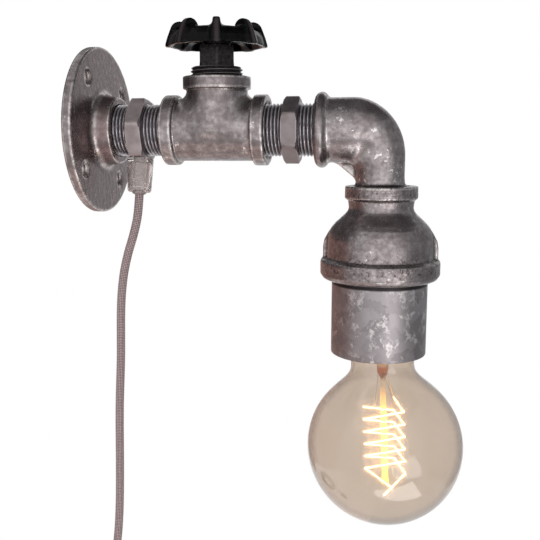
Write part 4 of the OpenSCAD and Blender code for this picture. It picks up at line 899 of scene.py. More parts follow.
# Size in mm, detail, roughness and distortion of each field.
fields = {"clouds": (10, 5.0, 0.55, 0.8), "mottle": (2.4, 2.0, 0.5, 0.0), "pits": (1.3, 1.0, 0.5, 0.0),
          "flecks": (2.6, 5.0, 0.7, 0.0), "swell": (3, 2.0, 0.4, 0.0), "grain": (0.8, 3.0, 0.5, 0.0)}
clouds, mottle, pits, flecks, swell, grain = [
    add(tree, "TexNoise", {"Vector": spot, "Scale": 1 / (size * MM), "Detail": detail, "Roughness": rough,
                           "Distortion": twist}) for size, detail, rough, twist in fields.values()]
hollow, wear_and_highlight, oiled, flecked, pitted = [
    add(tree, "Attribute", attribute_name=mark).outputs["Fac"]
    for mark in ("hollow", "wear_and_highlight", "oiled", "flecked", "pitted")]
print("fields in mm", {name: field[0] for name, field in fields.items()})

# %% Cast iron: grey skin, and oil on the flange
both = add(tree, "Math", [mottle, clouds], operation="ADD")
both = add(tree, "Math", [flecked, 0.1, both], operation="MULTIPLY_ADD")
half = add(tree, "Math", [both, 0.5], operation="MULTIPLY")
skin = add(tree, "ValToRGB", {"Fac": half},
           stops=[(0.36, "#6c6364"), (0.47, "#7a7172"), (0.54, "#847c7d"), (0.66, "#989192")])
oily = add(tree, "Math", [oiled, 0.55], operation="MULTIPLY")
print("greys from", skin.color_ramp.elements[0].position, "to", skin.color_ramp.elements[-1].position)

# %% [markdown]
# ### Painted shade, worn edges and pits
# Hollows and creases are painted darker as shade, and edges are painted bright, in patches, as wear and
# highlight. Gas in the mould leaves pits about 1 mm wide on the reducer's bands, and pale specks between them
# are painted glints. All of these could be painted by hand; the marks that the distances gave say where they
# belong.

# %% Cast iron: painted shade, worn and highlit edges, pits and painted glints
# Painted shade in hollows, and edges painted lighter as wear and highlight.
painted_shade = add(tree, "MapRange", [hollow, 0.2, 0.7, 0.0, 0.75])
edge_wear_highlight = add(tree, "MapRange", [wear_and_highlight, 0.06, 0.2, 0.0, 0.75])
patchy = add(tree, "MapRange", [mottle, 0.4, 0.6, 0.35, 1.0])
edge_wear_highlight = add(tree, "Math", [edge_wear_highlight, patchy], operation="MULTIPLY")
pit = add(tree, "MapRange", [pits, 0.4, 0.32, 0.0, 0.7])
pit = add(tree, "Math", [pit, pitted], operation="MULTIPLY")
glint_specks = add(tree, "MapRange", [pits, 0.6, 0.7, 0.0, 0.4])
glint_specks = add(tree, "Math", [glint_specks, pitted], operation="MULTIPLY")
# The darkening in hollows is painted shade, and the light edges are wear with a painted highlight.
print("dirt in hollows, bare metal on edges, pits on the bands")

# %% [markdown]
# ### Zinc flecks, painted glints and the casting's unevenness
# Pale flecks, 2 to 3 mm wide, gather where the clouds are light: partly zinc and partly painted glints. All
# layers then lie over the grey skin, one after the other. The sand's shape shows in the reflections: swells
# of 3 mm with a little grain of 0.8 mm on them, and the pits sunk into both.

# %% Cast iron: flecks, layers, bump and surface
rich = add(tree, "MapRange", [clouds, 0.5, 0.62, 0.0, 0.14])
level = add(tree, "Math", [flecks, rich], operation="ADD")
level = add(tree, "Math", [flecked, 0.06, level], operation="MULTIPLY_ADD")
fleck_glint = add(tree, "MapRange", [level, 0.73, 0.78, 0.0, 0.85])
# Layers over the skin: oil, painted shade in hollows, worn edges with painted highlight, pits, painted
# glints, and zinc flecks with painted glints.
for amount, code in ((oily, "#74605f"), (painted_shade, "#241e1f"), (edge_wear_highlight, "#c2bcba"), (pit, "#2b2425"),
                     (glint_specks, "#bdb7b6"), (fleck_glint, "#dad5d3")):
    skin = add(tree, "Mix", {0: amount, 6: skin, 7: linear(code)}, data_type="RGBA")
sand = add(tree, "Math", [grain, 0.1, swell], operation="MULTIPLY_ADD")
uneven = add(tree, "Math", [sand, pit], operation="SUBTRACT")
bump = add(tree, "Bump", {"Height": uneven, "Strength": 0.35, "Distance": 0.3 * MM})
rough = add(tree, "MapRange", [mottle, 0.3, 0.7, 0.34, 0.21])
iron = add(tree, "BsdfPrincipled", {"Base Color": skin, "Metallic": 0.88, "Roughness": rough, "Normal": bump})
add(tree, "OutputMaterial", {"Surface": iron})
dress(cast_iron, flange, tee, elbow, reducer)

# %% [markdown]
# ### Cut thread and hexagon
# The thread is cut after galvanising, so its crests are bright steel with a painted highlight and its roots
# hold dark sealing paste and painted shade. The hexagon keeps the cast skin, painted lighter at its edges and
# on the rear bar. The mark on the mesh tells them apart: 0 to 1 up the thread, and 2 or more on the hexagon,
# where a higher mark is painted lighter.

# %% Cut thread
# The eye gets thin bright lines over dark gaps, and one plain grey block between them.
cut_thread, tree, spot = new_material("cut_pipe_thread")
crest = add(tree, "Attribute", attribute_name="crest").outputs["Fac"]
clouds = add(tree, "TexNoise", {"Vector": spot, "Scale": 1 / (6 * MM), "Detail": 4.0})
grain = add(tree, "TexNoise", {"Vector": spot, "Scale": 1 / (0.8 * MM), "Detail": 3.0})
# Painted highlight on the thread's crests, made uneven, over painted shade in its roots.
uneven_glints = add(tree, "Math", [grain, 1.1, -0.55], operation="MULTIPLY_ADD")
shine = add(tree, "Math", [crest, uneven_glints], operation="ADD")
metal = add(tree, "ValToRGB", {"Fac": shine}, stops=[(0.0, "#4d484b"), (0.5, "#89858a"), (0.95, "#d3cfd3")])
hex_skin = add(tree, "ValToRGB", {"Fac": clouds}, stops=[(0.3, "#6a6061"), (0.7, "#827a7b")])
# Painted light on the hexagon: its skin is brightened by its mark.
hex_light_lift = add(tree, "MapRange", [crest, 2.0, 4.0, 1.0, 2.3])
hex_skin = add(tree, "VectorMath", {0: hex_skin, "Scale": hex_light_lift}, operation="SCALE")
is_hex = add(tree, "Math", [crest, 1.5], operation="GREATER_THAN")
tone = add(tree, "Mix", {0: is_hex, 6: metal, 7: hex_skin}, data_type="RGBA")
rough = add(tree, "MapRange", [clouds, 0.3, 0.7, 0.28, 0.45])
bump = add(tree, "Bump", {"Height": grain, "Strength": 0.3, "Distance": 0.2 * MM})
bar = add(tree, "BsdfPrincipled", {"Base Color": tone, "Metallic": 0.9, "Roughness": rough, "Normal": bump})
add(tree, "OutputMaterial", {"Surface": bar})
dress(cut_thread, rear, front)

# %% [markdown]
# ### Galvanised tube
# Zinc on smooth tube crystallises in spangles, flat patches about 5 mm wide that each catch the light
# differently, with pale runs down the tube. Voronoi cells are such patches; noise bends their straight
# sides, and a second noise in the same bent space, drawn out along the tube, makes the runs.

# %% Spangled tube
# The eye gets flat grey flakes with soft limits and a few bright streaks.
spangle, tree, spot = new_material("galvanised_spangle")
wander = add(tree, "TexNoise", {"Vector": spot, "Scale": 1 / (7 * MM), "Detail": 5.0, "Roughness": 0.65})
shift = (12 * MM, 12 * MM, 12 * MM)
moved = add(tree, "VectorMath", [wander.outputs["Color"], shift, spot], operation="MULTIPLY_ADD")
cells = add(tree, "TexVoronoi", {"Vector": moved, "Scale": 1 / (5 * MM)})
flake = add(tree, "SeparateColor", [cells.outputs["Color"]])
mixed = add(tree, "Math", [wander, 0.5, flake.outputs[0]], operation="MULTIPLY_ADD")
skin = add(tree, "ValToRGB", {"Fac": mixed}, stops=[(0.2, "#7e787a"), (0.7, "#888284"), (1.0, "#928c8e")])
drawn = add(tree, "VectorMath", [moved, (1.0, 1.0, 0.55)], operation="MULTIPLY")
runs = add(tree, "TexNoise", {"Vector": drawn, "Scale": 1 / (5 * MM), "Detail": 6.0, "Roughness": 0.7})
streak = add(tree, "MapRange", [runs, 0.55, 0.6, 0.0, 0.8])
skin = add(tree, "Mix", {0: streak, 6: skin, 7: linear("#c4bfbf")}, data_type="RGBA")
# Painted shadow of the band on the tube's top.
band_shadowed = add(tree, "Attribute", attribute_name="band_shadow").outputs["Fac"]
skin = add(tree, "Mix", {0: band_shadowed, 6: skin, 7: linear("#2c2829")}, data_type="RGBA")
rough = add(tree, "MapRange", {0: flake.outputs[1], 3: 0.38, 4: 0.5})
bump = add(tree, "Bump", {"Height": runs, "Strength": 0.2, "Distance": 0.2 * MM})
zinc = add(tree, "BsdfPrincipled", {"Base Color": skin, "Metallic": 0.88, "Roughness": rough, "Normal": bump})
add(tree, "OutputMaterial", {"Surface": zinc})
dress(spangle, tube)

# %% [markdown]
# ### Black paint and blackened iron
# The wheel is painted in gloss black over a casting, so the paint follows the sand's unevenness, and
# a highlight is painted along the fins' ridges. Neck and bush are bare iron, blackened in hot oil, and
# duller, with the thread's crests rubbed back to metal.

# %% Gloss black paint
# The eye gets a deep black with small sharp glints that wander over the surface.
black_paint, tree, spot = new_material("gloss_black_paint")
sand = add(tree, "TexNoise", {"Vector": spot, "Scale": 1 / (2.2 * MM), "Detail": 4.0})
bump = add(tree, "Bump", {"Height": sand, "Strength": 0.3, "Distance": 0.3 * MM})
tone = add(tree, "ValToRGB", {"Fac": sand}, stops=[(0.35, "#040404"), (0.7, "#0d0c0d")])
# Painted highlight: lighter along each fin's outer ridge.
handled = add(tree, "Attribute", attribute_name="handled").outputs["Fac"]
ridge_light = add(tree, "MapRange", [handled, 0.1, 1.0, 0.0, 0.4])
tone = add(tree, "Mix", {0: ridge_light, 6: tone, 7: linear("#5e5354")}, data_type="RGBA")
paint = add(tree, "BsdfPrincipled", {"Base Color": tone, "Roughness": 0.16, "Specular IOR Level": 0.09,
                                     "Normal": bump})
add(tree, "OutputMaterial", {"Surface": paint})
dress(black_paint, wheel)

# %% Blackened iron
# The eye gets a brownish black with a dull shine and pale crests.
oiled_iron, tree, spot = new_material("blackened_iron")
sand = add(tree, "TexNoise", {"Vector": spot, "Scale": 1 / (1.4 * MM), "Detail": 4.0})
bump = add(tree, "Bump", {"Height": sand, "Strength": 0.4, "Distance": 0.3 * MM})
tone = add(tree, "ValToRGB", {"Fac": sand}, stops=[(0.35, "#1f1c1c"), (0.7, "#3e393a")])
crest = add(tree, "Attribute", attribute_name="crest").outputs["Fac"]
bright = add(tree, "MapRange", [crest, 0.6, 1.0, 0.0, 0.42])
tone = add(tree, "Mix", {0: bright, 6: tone, 7: linear("#b0a9a9")}, data_type="RGBA")
black = add(tree, "BsdfPrincipled", {"Base Color": tone, "Metallic": 0.4, "Roughness": 0.36,
                                     "Specular IOR Level": 0.2, "Normal": bump})
add(tree, "OutputMaterial", {"Surface": black})
dress(oiled_iron, bush, neck)

# %% [markdown]
# ## Cord gland
# The gland is clear nylon: a body screwed into the nipple's lower flat, a tapered sleeve over its
# thread, and a collet that grips the cord. Each is a turned outline set on an axis that leans 12 degrees,
# so the outlines are turned upright first and their points are then carried to the leaning axis.

# %% Gland
GLAND_COLS, gland_top = 64, np.array([25.5, 0, 0])
gland_axes = np.array([[1, 0, 0], [0, np.cos(gland_lean), -np.sin(gland_lean)],
                       [0, -np.sin(gland_lean), -np.cos(gland_lean)]])
ridge = np.arange(17.6, 26.9, 0.25)
barrel = np.stack([4.2 + 0.65 * np.abs(2 * ((ridge / 1.5) % 1) - 1), ridge], 1)
gland_lines = {
    ("gland_core", "gland_body"): np.vstack([
        [cord_hole_r, 10.5], [3.4, 10.5], [3.4, 15.0], [6.4, 15.0], [6.65, 15.25], [6.65, 17.2], [6.4, 17.5],
        [4.6, 17.5], barrel, [4.5, 27.0], [cord_hole_r, 27.0]]),
    ("gland_taper", "gland_sleeve"): np.array([
        [5.0, 17.6], [6.45, 17.6], [6.65, 17.9], [6.12, 31.4], [5.7, 32.0], [3.9, 32.0], [3.9, 30.1],
        [5.0, 29.9]]),
    ("gland_grip", "gland_collet"): np.array([
        [cord_hole_r, 27.2], [3.7, 27.2], [3.7, 32.7], [3.2, 33.3], [cord_hole_r, 33.3]])}
gland = [add_piece(name, gland_top + turned(line, GLAND_COLS) @ gland_axes, "fixture", (node,),
                   sharp=35) for (name, node), line in gland_lines.items()]

# %% Clear nylon
# The eye gets a clear, faintly cloudy plastic that shows the cord through it, with soft bright edges.
nylon, tree, spot = new_material("clear_nylon")
cloudy = add(tree, "TexNoise", {"Vector": spot, "Scale": 1 / (8 * MM), "Detail": 2.0})
rough = add(tree, "MapRange", {0: cloudy, 3: 0.06, 4: 0.12})
tone = add(tree, "ValToRGB", {"Fac": cloudy}, stops=[(0.3, "#f3e9e7"), (0.7, "#f8f0ee")])
clear = add(tree, "BsdfPrincipled", {"Base Color": tone, "Roughness": rough, "IOR": 1.5,
                                     "Transmission Weight": 0.8})
add(tree, "OutputMaterial", {"Surface": clear})
dress(nylon, *gland)

# %% [markdown]
# ## Globe bulb
# The lampholder hangs in the tube with a little play, so the bulb leans away from the wall by about two
# and a half degrees, as in the photograph. Everything in the bulb is worked out upright and then turned by
# that lean, about the same point as in the CAD model.

# %% Lean of the lampholder
tube_d, tube_wall, holder_r, hang_gap, dome_high, sleeve_long = 48.3, 3, 18, 1.2, 16.5, 27
holder_top, nut_half = -62.2, 7
lean = np.arctan((tube_d / 2 - tube_wall - holder_r - hang_gap) / (dome_high + sleeve_long))
pivot_z = holder_top - nut_half / np.cos(np.pi / 6) * np.sin(lean)


def hung(points):
    """Points turned by the lean about the middle of the lampholder's top, away from the wall."""
    x, z = points[..., 0] - LAMP_X, points[..., 2] - pivot_z
    return np.stack([LAMP_X + x * np.cos(lean) - z * np.sin(lean), points[..., 1],
                     pivot_z + x * np.sin(lean) + z * np.cos(lean)], -1)


print("lean in degrees", round(np.degrees(lean), 2))

# %% [markdown]
# ### Globe
# The globe is blown glass with a thin amber tint, 80 mm across, that narrows to a neck in the screw cap.
# Its wall is real: an outer and an inner skin 0.9 mm apart, each a neck, an easing curve and a sphere. A
# single skin would bend the light as a solid ball does.

# %% Globe
cap_z, globe_z, globe_r, neck_r, seat_r, wall_thick, globe_cols = -109.56, -163.0, 40.3, 16.2, 12.3, 0.9, 128
joint = np.radians(46)


def glass_line(inset):
    """Cap edge, neck, a cubic that eases into the sphere, and the sphere to its pole, less the inset."""
    r, n, c = globe_r - inset, neck_r - inset, seat_r - inset
    j = np.array([r * np.cos(joint), globe_z + r * np.sin(joint)])
    s = np.linspace(0, 1, 24)[:, None]
    start = np.array([n, cap_z - 9.5])
    ease = ((1 - s) ** 3 * start + 3 * (1 - s) ** 2 * s * (start - [0, 6])
            + 3 * (1 - s) * s ** 2 * (j + 9 * np.array([-np.sin(joint), np.cos(joint)])) + s ** 3 * j)
    a = np.linspace(joint, -np.pi / 2, 64)[1:]
    return np.vstack([[c, cap_z + 6], [c, cap_z - 1], [c + 0.55 * (n - c), cap_z - 2], [n, cap_z - 4.2], ease,
                      np.stack([r * np.cos(a), globe_z + r * np.sin(a)], 1)])


wall = np.vstack([glass_line(0), glass_line(wall_thick)[::-1]])
glass = add_piece("globe_glass", hung(turned(wall, globe_cols, LAMP_X)), "bulb", ("bulb_glass",))

# %% [markdown]
# ### Stem
# Inside, a glass flare is pressed flat round the lead wires and drawn into a long rod with a bead at its
# end. Each row has a half width, a half depth and a height, so the section can be round or pressed flat.
# The flare is hollow from above, and a rim of faces joins its outside and inside.

# %% Stem, a flare that is pressed flat and drawn into a rod
stem_cols = 40
stem_rows = np.array([[11.2, 11.2, 4], [11.2, 11.2, 2], [8, 8, -1.3], [4.6, 4.6, -4.3], [3.4, 3.4, -6.8],
                      [3, 3, -9.3], [2.9, 2.2, -11.8], [2.8, 1.7, -14], [1.9, 1.6, -15.2], [1.5, 1.5, -16.8],
                      [1.45, 1.45, -40.8], [1.45, 1.45, -70.8], [1.9, 1.9, -73.3], [1.7, 1.7, -74.6],
                      [0, 0, -75]])
inner_rows = np.array([[0, 0, -10.3], [1.8, 1.8, -8.8], [2.4, 2.4, -6.3], [3.6, 3.6, -4], [7, 7, -0.8],
                       [10.2, 10.2, 2.2], [10.2, 10.2, 4]])
both_rows, stem_turn = np.vstack([stem_rows, inner_rows]), around(stem_cols)
stem_points = np.stack([LAMP_X + both_rows[:, :1] * np.cos(stem_turn), both_rows[:, 1:2] * np.sin(stem_turn),
                        np.repeat(cap_z + both_rows[:, 2:], stem_cols, 1)], -1)
rim = np.stack([np.arange(stem_cols), (np.arange(stem_cols) + 1) % stem_cols], 1)
stem_faces = np.vstack([grid_faces(len(stem_rows), stem_cols),
                        len(stem_rows) * stem_cols + grid_faces(len(inner_rows), stem_cols),
                        np.concatenate([rim, (len(both_rows) - 1) * stem_cols + rim[:, ::-1]], 1)])
stem = add_piece("glass_stem", hung(stem_points), "bulb", ("bulb_stem",), stem_faces, sharp=50)

# %% [markdown]
# ### Filament and wires
# The filament is wound as two strands that go down side by side and meet at the bottom. Each one is hung
# from one hook to the next on three sides, so from above the winding is a triangle with tight corners. Two
# lead wires and a tail come out of the stem, and thin posts and arms hold the hooks.

# %% Paths of the filament and the wires
hook_places = np.array([[-10.2, -3.0], [5.0, 6.0], [10.6, -3.3]])
drop, first_z, hooks, near_hook = 13.4 / 3, -141.7, 9, 0.14


def strand(corner, height, end):
    """Hook after hook, each a third of a turn on, with a point just before and after it, and an end point."""
    k = np.arange(hooks)
    hook = np.concatenate([hook_places[(corner + k) % 3], (height - drop * k)[:, None]], 1)
    hook = np.vstack([hook, end])
    tight = hook[:, None].repeat(3, 1)
    tight[1:, 0] = hook[1:] + near_hook * (hook[:-1] - hook[1:])
    tight[:-1, 2] = hook[:-1] + near_hook * (hook[1:] - hook[:-1])
    return smooth_line(tight.reshape(-1, 3)[1:-1] + [LAMP_X, 0, 0], 0.5)


meet = np.array([4.0, -4.5, first_z - 43.5])
strands = [strand(0, first_z, meet + [-4.5, -1.5, -3.5]), strand(1, first_z + drop / 2, meet)]
lead_points = [[[147.6, 0, cap_z - 14.2], [147.4, 0, cap_z - 17], [145.6, 0.5, first_z - 1.6]],
               [[152.4, 0, cap_z - 14.2], [152.6, 0.5, cap_z - 17.5], [155, 6, first_z + drop / 2]],
               [[151, -1.2, cap_z - 15], [151.8, -2, cap_z - 18], [156.4, -3.2, first_z + 1.5]],
               [[146.4, -3.3, first_z - 8.6], [147.2, -3.2, first_z - 20], [148.6, -3.2, first_z - 33]]]
post_out, arm_z = 0.82, first_z - 20
posts = [np.stack([np.full(9, LAMP_X + post_out * x), np.full(9, post_out * y),
                   np.linspace(first_z + 1, first_z - 40, 9)], 1) for x, y in hook_places]
arms = [np.array([[LAMP_X + out * x, out * y, arm_z] for out in (0, post_out / 2, post_out)])
        for x, y in hook_places]
print("strands", [len(s) for s in strands], "posts and arms", len(posts + arms))

# %% Filament, lead wires and supports
def wire_piece(name, paths, radius, node, cols=8):
    """Wires of one thickness as one piece, each a carried ring with closed ends."""
    tubes = [capped(carried_ring(p, radius, cols)) for p in paths]
    starts = np.cumsum([0] + [len(t) * cols for t in tubes])
    faces = np.vstack([grid_faces(len(t), cols) + s for t, s in zip(tubes, starts)])
    return add_piece(name, hung(np.vstack([t.reshape(-1, 3) for t in tubes])), "bulb", (node,), faces)


filament_r, lead_r, support_r = 0.4, 0.22, 0.14
filament = wire_piece("filament_winding", strands, filament_r, "filament")
leads = wire_piece("lead_wires", [smooth_line(w, 0.6) for w in lead_points], lead_r, "bulb_leads")
supports = wire_piece("support_wires", [smooth_line(w, 0.8) for w in posts + arms], support_r,
                      "filament_hooks")

# %% [markdown]
# ### Amber glass
# The glass is clear, with a tint that deepens where the wall is seen edge-on and the light has further to
# go. Dust and fine haze scatter a little of the filament's light, which gives the glow round it: specks of
# 0.12 mm are rough and the rest is smooth, too fine to be seen one by one.

# %% Amber glass
# The eye gets a clear warm globe with a darker rim and a soft glow in its middle.
amber, tree, spot = new_material("amber_tinted_glass")
streak = add(tree, "TexNoise", {"Vector": spot, "Scale": 1 / (30 * MM), "Detail": 2.0})
tint = add(tree, "ValToRGB", {"Fac": streak}, stops=[(0.3, "#dfd4c9"), (0.7, "#e2d8ce")])
edge_on = add(tree, "LayerWeight", {"Blend": 0.5}).outputs["Facing"]
deep = add(tree, "MapRange", [edge_on, 0.55, 0.9, 0.0, 0.85])
tint = add(tree, "Mix", {0: deep, 6: tint, 7: linear("#8a7262")}, data_type="RGBA")
specks = add(tree, "TexNoise", {"Vector": spot, "Scale": 1 / (0.12 * MM), "Detail": 0.0})
haze = add(tree, "MapRange", [specks, 0.63, 0.64, 0.0, 0.27])
blown = add(tree, "BsdfPrincipled", {"Base Color": tint, "Roughness": haze, "IOR": 1.45,
                                     "Transmission Weight": 1.0})
add(tree, "OutputMaterial", {"Surface": blown})
dress(amber, glass)

# %% [markdown]
# ### Stem glass, filament and nickel
# The stem's rod is given a painted yellow glow, an emission that grows towards the filament, and the pressed
# end above it is amber and then clear. Both change with height alone. The filament is a fine coil of hot
# wire, whose turns of 1.2 mm are coarser than the real ones so that they count. It is a little orange, so
# that its glow is warm, and strong enough to look near white itself. Lead wires are bright nickel.

# %% Stem glass
# The eye gets a yellow rod with a painted glow below a brown glass bead.
rod_glass, tree, spot = new_material("stem_glass")
height = add(tree, "SeparateXYZ", [spot]).outputs[2]
# Painted glow: an emission that grows towards the filament.
glow_amount = add(tree, "MapRange", [height, -131 * MM, -152 * MM, 0.0, 1.0])
painted_glow = add(tree, "ValToRGB", {"Fac": glow_amount}, stops=[(0.0, "#1c0d02"), (0.5, "#d99a30"), (1.0, "#ffe034")])
press = add(tree, "MapRange", [height, -118 * MM, -128 * MM])
tint = add(tree, "ValToRGB", {"Fac": press},
           stops=[(0.0, "#fbf3e6"), (0.35, "#c0701c"), (0.75, "#94500f"), (1.0, "#fbf0dc")])
pressed = add(tree, "BsdfPrincipled", {"Base Color": tint, "Roughness": 0.05, "IOR": 1.5,
                                       "Transmission Weight": 1.0, "Emission Color": painted_glow,
                                       "Emission Strength": 1.1})
add(tree, "OutputMaterial", {"Surface": pressed})
dress(rod_glass, stem)

# %% Glowing filament and nickel wire
# The eye gets a near white line with a warm edge, and thin pale wires.
hot_wire, tree, spot = new_material("glowing_filament")
turns = add(tree, "TexWave", {"Vector": spot, "Scale": 1 / (1.2 * MM)}).outputs["Fac"]
heat = add(tree, "ValToRGB", {"Fac": turns}, stops=[(0.0, "#ffba6e"), (1.0, "#ffdfb2")])
hot = add(tree, "BsdfPrincipled", {"Base Color": linear("#ffcf80"), "Roughness": 0.5, "Emission Color": heat,
                                   "Emission Strength": 9.0})
add(tree, "OutputMaterial", {"Surface": hot})
dress(hot_wire, filament)
nickel, tree, spot = new_material("bright_nickel_wire")
drawing = add(tree, "TexNoise", {"Vector": spot, "Scale": 1 / (2 * MM)})
tone = add(tree, "ValToRGB", {"Fac": drawing}, stops=[(0.3, "#cbbfae"), (0.7, "#e4d9c6")])
wire = add(tree, "BsdfPrincipled", {"Base Color": tone, "Metallic": 1.0, "Roughness": 0.3})
add(tree, "OutputMaterial", {"Surface": wire})
dress(nickel, leads, supports)

# %% [markdown]
# ## Pieces inside
# The switch under the wheel, the lampholder in the tube, the wires and the bulb's cap stay as they are
# in the CAD model, because their shapes are right. They only need real finishes: brass, porcelain,
# pressed laminate, insulated wire and vitrified glass. One recipe serves them all, with two close tones in
# patches, because they are small and mostly hidden.

# %% Finishes of the inner pieces
def plain(name, dark, light, size, rough, metallic):
    """A finish with two close tones in patches of a size in millimetres and a fine unevenness."""
    material, tree, spot = new_material(name)
    patch = add(tree, "TexNoise", {"Vector": spot, "Scale": 1 / (size * MM), "Detail": 4.0})
    tone = add(tree, "ValToRGB", {"Fac": patch}, stops=[(0.3, dark), (0.7, light)])
    bump = add(tree, "Bump", {"Height": patch, "Strength": 0.1, "Distance": 0.1 * MM})
    surface = add(tree, "BsdfPrincipled", {"Base Color": tone, "Roughness": rough, "Metallic": metallic,
                                           "Normal": bump})
    add(tree, "OutputMaterial", {"Surface": surface})
    return material


# Name, darker and lighter tone, patch size in mm, roughness, metallic, and the CAD nodes that wear it.
finishes = [
    ("pressed_brass", "#b08a3e", "#cfae62", 2.0, 0.28, 1.0,
     ("switch_terminals", "switch_wiper", "holder_terminals", "holder_contact", "holder_shell", "bulb_cap")),
    ("glazed_porcelain", "#ddd8cc", "#ebe7dd", 4.0, 0.2, 0.0, ("holder_base",)),
    ("pressed_laminate", "#6b4524", "#80542d", 1.5, 0.55, 0.0, ("switch_base", "switch_track")),
    ("brown_insulation", "#5d3218", "#6d3d20", 2.0, 0.4, 0.0, ("live_wire",)),
    ("black_insulation", "#222123", "#302f31", 2.0, 0.4, 0.0, ("switched_wire",)),
    ("blue_insulation", "#2a4f8c", "#35609f", 2.0, 0.4, 0.0, ("neutral_wire",)),
    ("vitrified_insulator", "#141322", "#1d1c2c", 2.0, 0.15, 0.0, ("bulb_insulator",))]
for *look, names in finishes:
    dress(plain(*look), *[nodes[name] for name in names])
dress(steel, *[nodes[name] for name in ("wheel_shaft", "wheel_washer", "wheel_nut", "carrier_disc",
                                        "threaded_tube", "carrier_nuts", "bulb_contact")])
dress(black_plastic, *[nodes[name] for name in ("switch_case", "holder_dome", "holder_sleeve")])

# %% [markdown]
# ## Floor
# A pale round floor lies just below the plug. It takes the object's shadow, and mirrors see it as bright as
# the background, so that no grey disc shows in the iron.

# %% Floor
floor_rows, floor_cols, floor_wide, floor_z = 12, 64, 0.5, -0.412
spread, floor_turn = np.linspace(0, floor_wide, floor_rows)[:, None], around(floor_cols)
floor_points = np.stack([0.1 + spread * np.cos(floor_turn), -0.2 + spread * np.sin(floor_turn),
                         floor_z + 0 * spread * floor_turn], -1).reshape(-1, 3)
floor_mesh = bpy.data.meshes.new("floor")
floor_mesh.from_pydata(floor_points.tolist(), [], grid_faces(floor_rows, floor_cols).tolist())
floor = placed("floor", floor_mesh)
floor_paint, tree, spot = new_material("pale_floor")
speck = add(tree, "TexNoise", {"Vector": spot, "Scale": 1 / (40 * MM)})
tone = add(tree, "ValToRGB", {"Fac": speck}, stops=[(0.3, "#eeeeed"), (0.7, "#f4f4f3")])
matt = add(tree, "BsdfPrincipled", {"Base Color": tone, "Roughness": 0.8, "Specular IOR Level": 0.0})
bright = add(tree, "Emission", {"Color": tone, "Strength": 1.0})
mirrored = add(tree, "LightPath").outputs["Is Glossy Ray"]
surface = add(tree, "MixShader", [mirrored, matt, bright])
add(tree, "OutputMaterial", {"Surface": surface})
dress(floor_paint, floor)

# %% [markdown]
# ## Flags, card and panels
# A photographer sets dim cloth flags and white boards round shiny things, outside the picture, so that
# metal and glass have something to mirror. Four flags stand left, right and above and fade to white at
# their front edge, a pale card lies under the arm, and two bright panels make the glints on the globe.
# Only mirrors see them: the card and the panels are clear to a ray that nothing has mirrored yet, so none
# shows through the globe from behind.

# %% Corners of the sheets
def upright(x, low, high, front=-0.34, back=1.5):
    """Corners of a tall sheet at one x, beside and behind the lamp."""
    return [(x, front, low), (x, back, low), (x, back, high), (x, front, high)]


def lying(left, right, front, back, z):
    """Corners of a level sheet."""
    return [(left, front, z), (right, front, z), (right, back, z), (left, back, z)]


def facing(middle, width, height, target=(0.16, 0, -0.163), roll=np.radians(25)):
    """Corners of a sheet whose face looks at the globe, with its long side rolled from the level."""
    look = np.subtract(target, middle) / np.linalg.norm(np.subtract(target, middle))
    level = np.cross(look, (0, 0, 1))
    level /= np.linalg.norm(level)
    side = np.cos(roll) * level + np.sin(roll) * np.cross(level, look)
    rise = np.cross(side, look)
    return [tuple(middle + s * side * width / 2 + r * rise * height / 2)
            for s, r in ((-1, -1), (1, -1), (1, 1), (-1, 1))]


# Colour, strength, length over which a flag fades in from its front edge, and corners in metres.
sheets = {"flag_left_low": ("#bf9b91", 1.0, 0.16, upright(-0.35, -0.6, 0.0)),
          "flag_left_high": ("#6a6668", 1.0, 0.16, upright(-0.35, 0.0, 0.6)),
          "flag_right": ("#adb0b2", 1.0, 0.16, upright(0.6, -0.6, 0.6)),
          "flag_top": ("#4c494b", 1.0, 0.3, lying(-0.14, 0.7, -0.4, 0.5, 0.42)),
          "card_under": ("#fff0ea", 1.28, None, lying(-0.3, 0.12, -0.35, 0.25, -0.408)),
          "panel_right": ("#fffdfc", 3.2, None, facing((0.46, -0.45, -0.34), 0.4, 0.36)),
          "panel_low": ("#fffdfc", 4.0, None, facing((0.235, -0.155, -0.4), 0.26, 0.18))}
print("sheets", list(sheets))

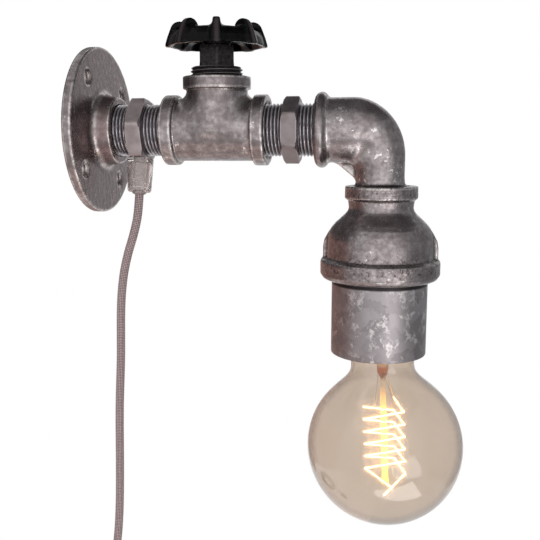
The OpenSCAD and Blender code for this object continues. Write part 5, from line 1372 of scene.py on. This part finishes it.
# %% Sheets that only mirrors see
for name, (code, strength, fade, corners) in sheets.items():
    cloth, tree, spot = new_material(name + "_cloth")
    tone = linear(code)
    if fade:
        front_y = min(corner[1] for corner in corners)
        depth = add(tree, "SeparateXYZ", [spot]).outputs[1]
        faded = add(tree, "MapRange", [depth, front_y, front_y + fade])
        tone = add(tree, "Mix", {0: faded, 6: linear("#ffffff"), 7: linear(code)}, data_type="RGBA")
    surface = add(tree, "Emission", {"Color": tone, "Strength": strength})
    if not fade:
        bounces = add(tree, "LightPath").outputs["Glossy Depth"]
        mirrored = add(tree, "Math", [bounces, 0.5], operation="GREATER_THAN")
        clear = add(tree, "BsdfTransparent")
        surface = add(tree, "MixShader", [mirrored, clear, surface])
    add(tree, "OutputMaterial", {"Surface": surface})
    mesh = bpy.data.meshes.new(name)
    mesh.from_pydata(corners, [], [(0, 1, 2, 3)])
    sheet = placed(name, mesh)
    sheet.visible_camera = sheet.visible_diffuse = sheet.visible_shadow = False
    sheet.visible_transmission = name.startswith("panel")
    dress(cloth, sheet)

# %% [markdown]
# ## Background and lamps
# The picture has a plain white background. The world is white for the camera, for reflections and through
# glass, and half as bright for the soft light that it sheds. Two large soft lamps do the rest: one in
# front, a little below the arm, and one above. They are too wide to throw hard shadows.

# %% World
world = bpy.data.worlds.new("studio")
bpy.context.scene.world = world
world.use_nodes = True
tree = world.node_tree
tree.nodes.clear()
ray = add(tree, "LightPath").outputs
seen = add(tree, "Math", [ray["Is Camera Ray"], ray["Is Glossy Ray"]], operation="MAXIMUM")
seen = add(tree, "Math", [seen, ray["Is Transmission Ray"]], operation="MAXIMUM")
soft = add(tree, "Background", {"Color": linear("#ffffff"), "Strength": 0.5})
white = add(tree, "Background", {"Color": linear("#ffffff"), "Strength": 1.0})
add(tree, "OutputWorld", {"Surface": add(tree, "MixShader", [seen, soft, white])})
print("world", world.name)

# %% Lamps
# Name, place, aim, width of the square lamp in metres, and power in watts.
for name, spot_at, aim, size, power in (("key", (0.22, -1.0, -0.1), (0.1, 0, -0.06), 1.3, 4.0),
                                        ("top", (0.1, -0.1, 0.95), (0.1, 0, -0.05), 0.7, 2.4)):
    data = bpy.data.lights.new(name, "AREA")
    data.shape, data.size, data.size_y, data.energy = "RECTANGLE", size, size, power
    lamp = placed(name, data)
    lamp.location = spot_at
    lamp.visible_camera = lamp.visible_transmission = False
    lamp.rotation_euler = (Vector(aim) - Vector(spot_at)).to_track_quat("-Z", "Y").to_euler()
bpy.context.scene.view_settings.view_transform = "Standard"
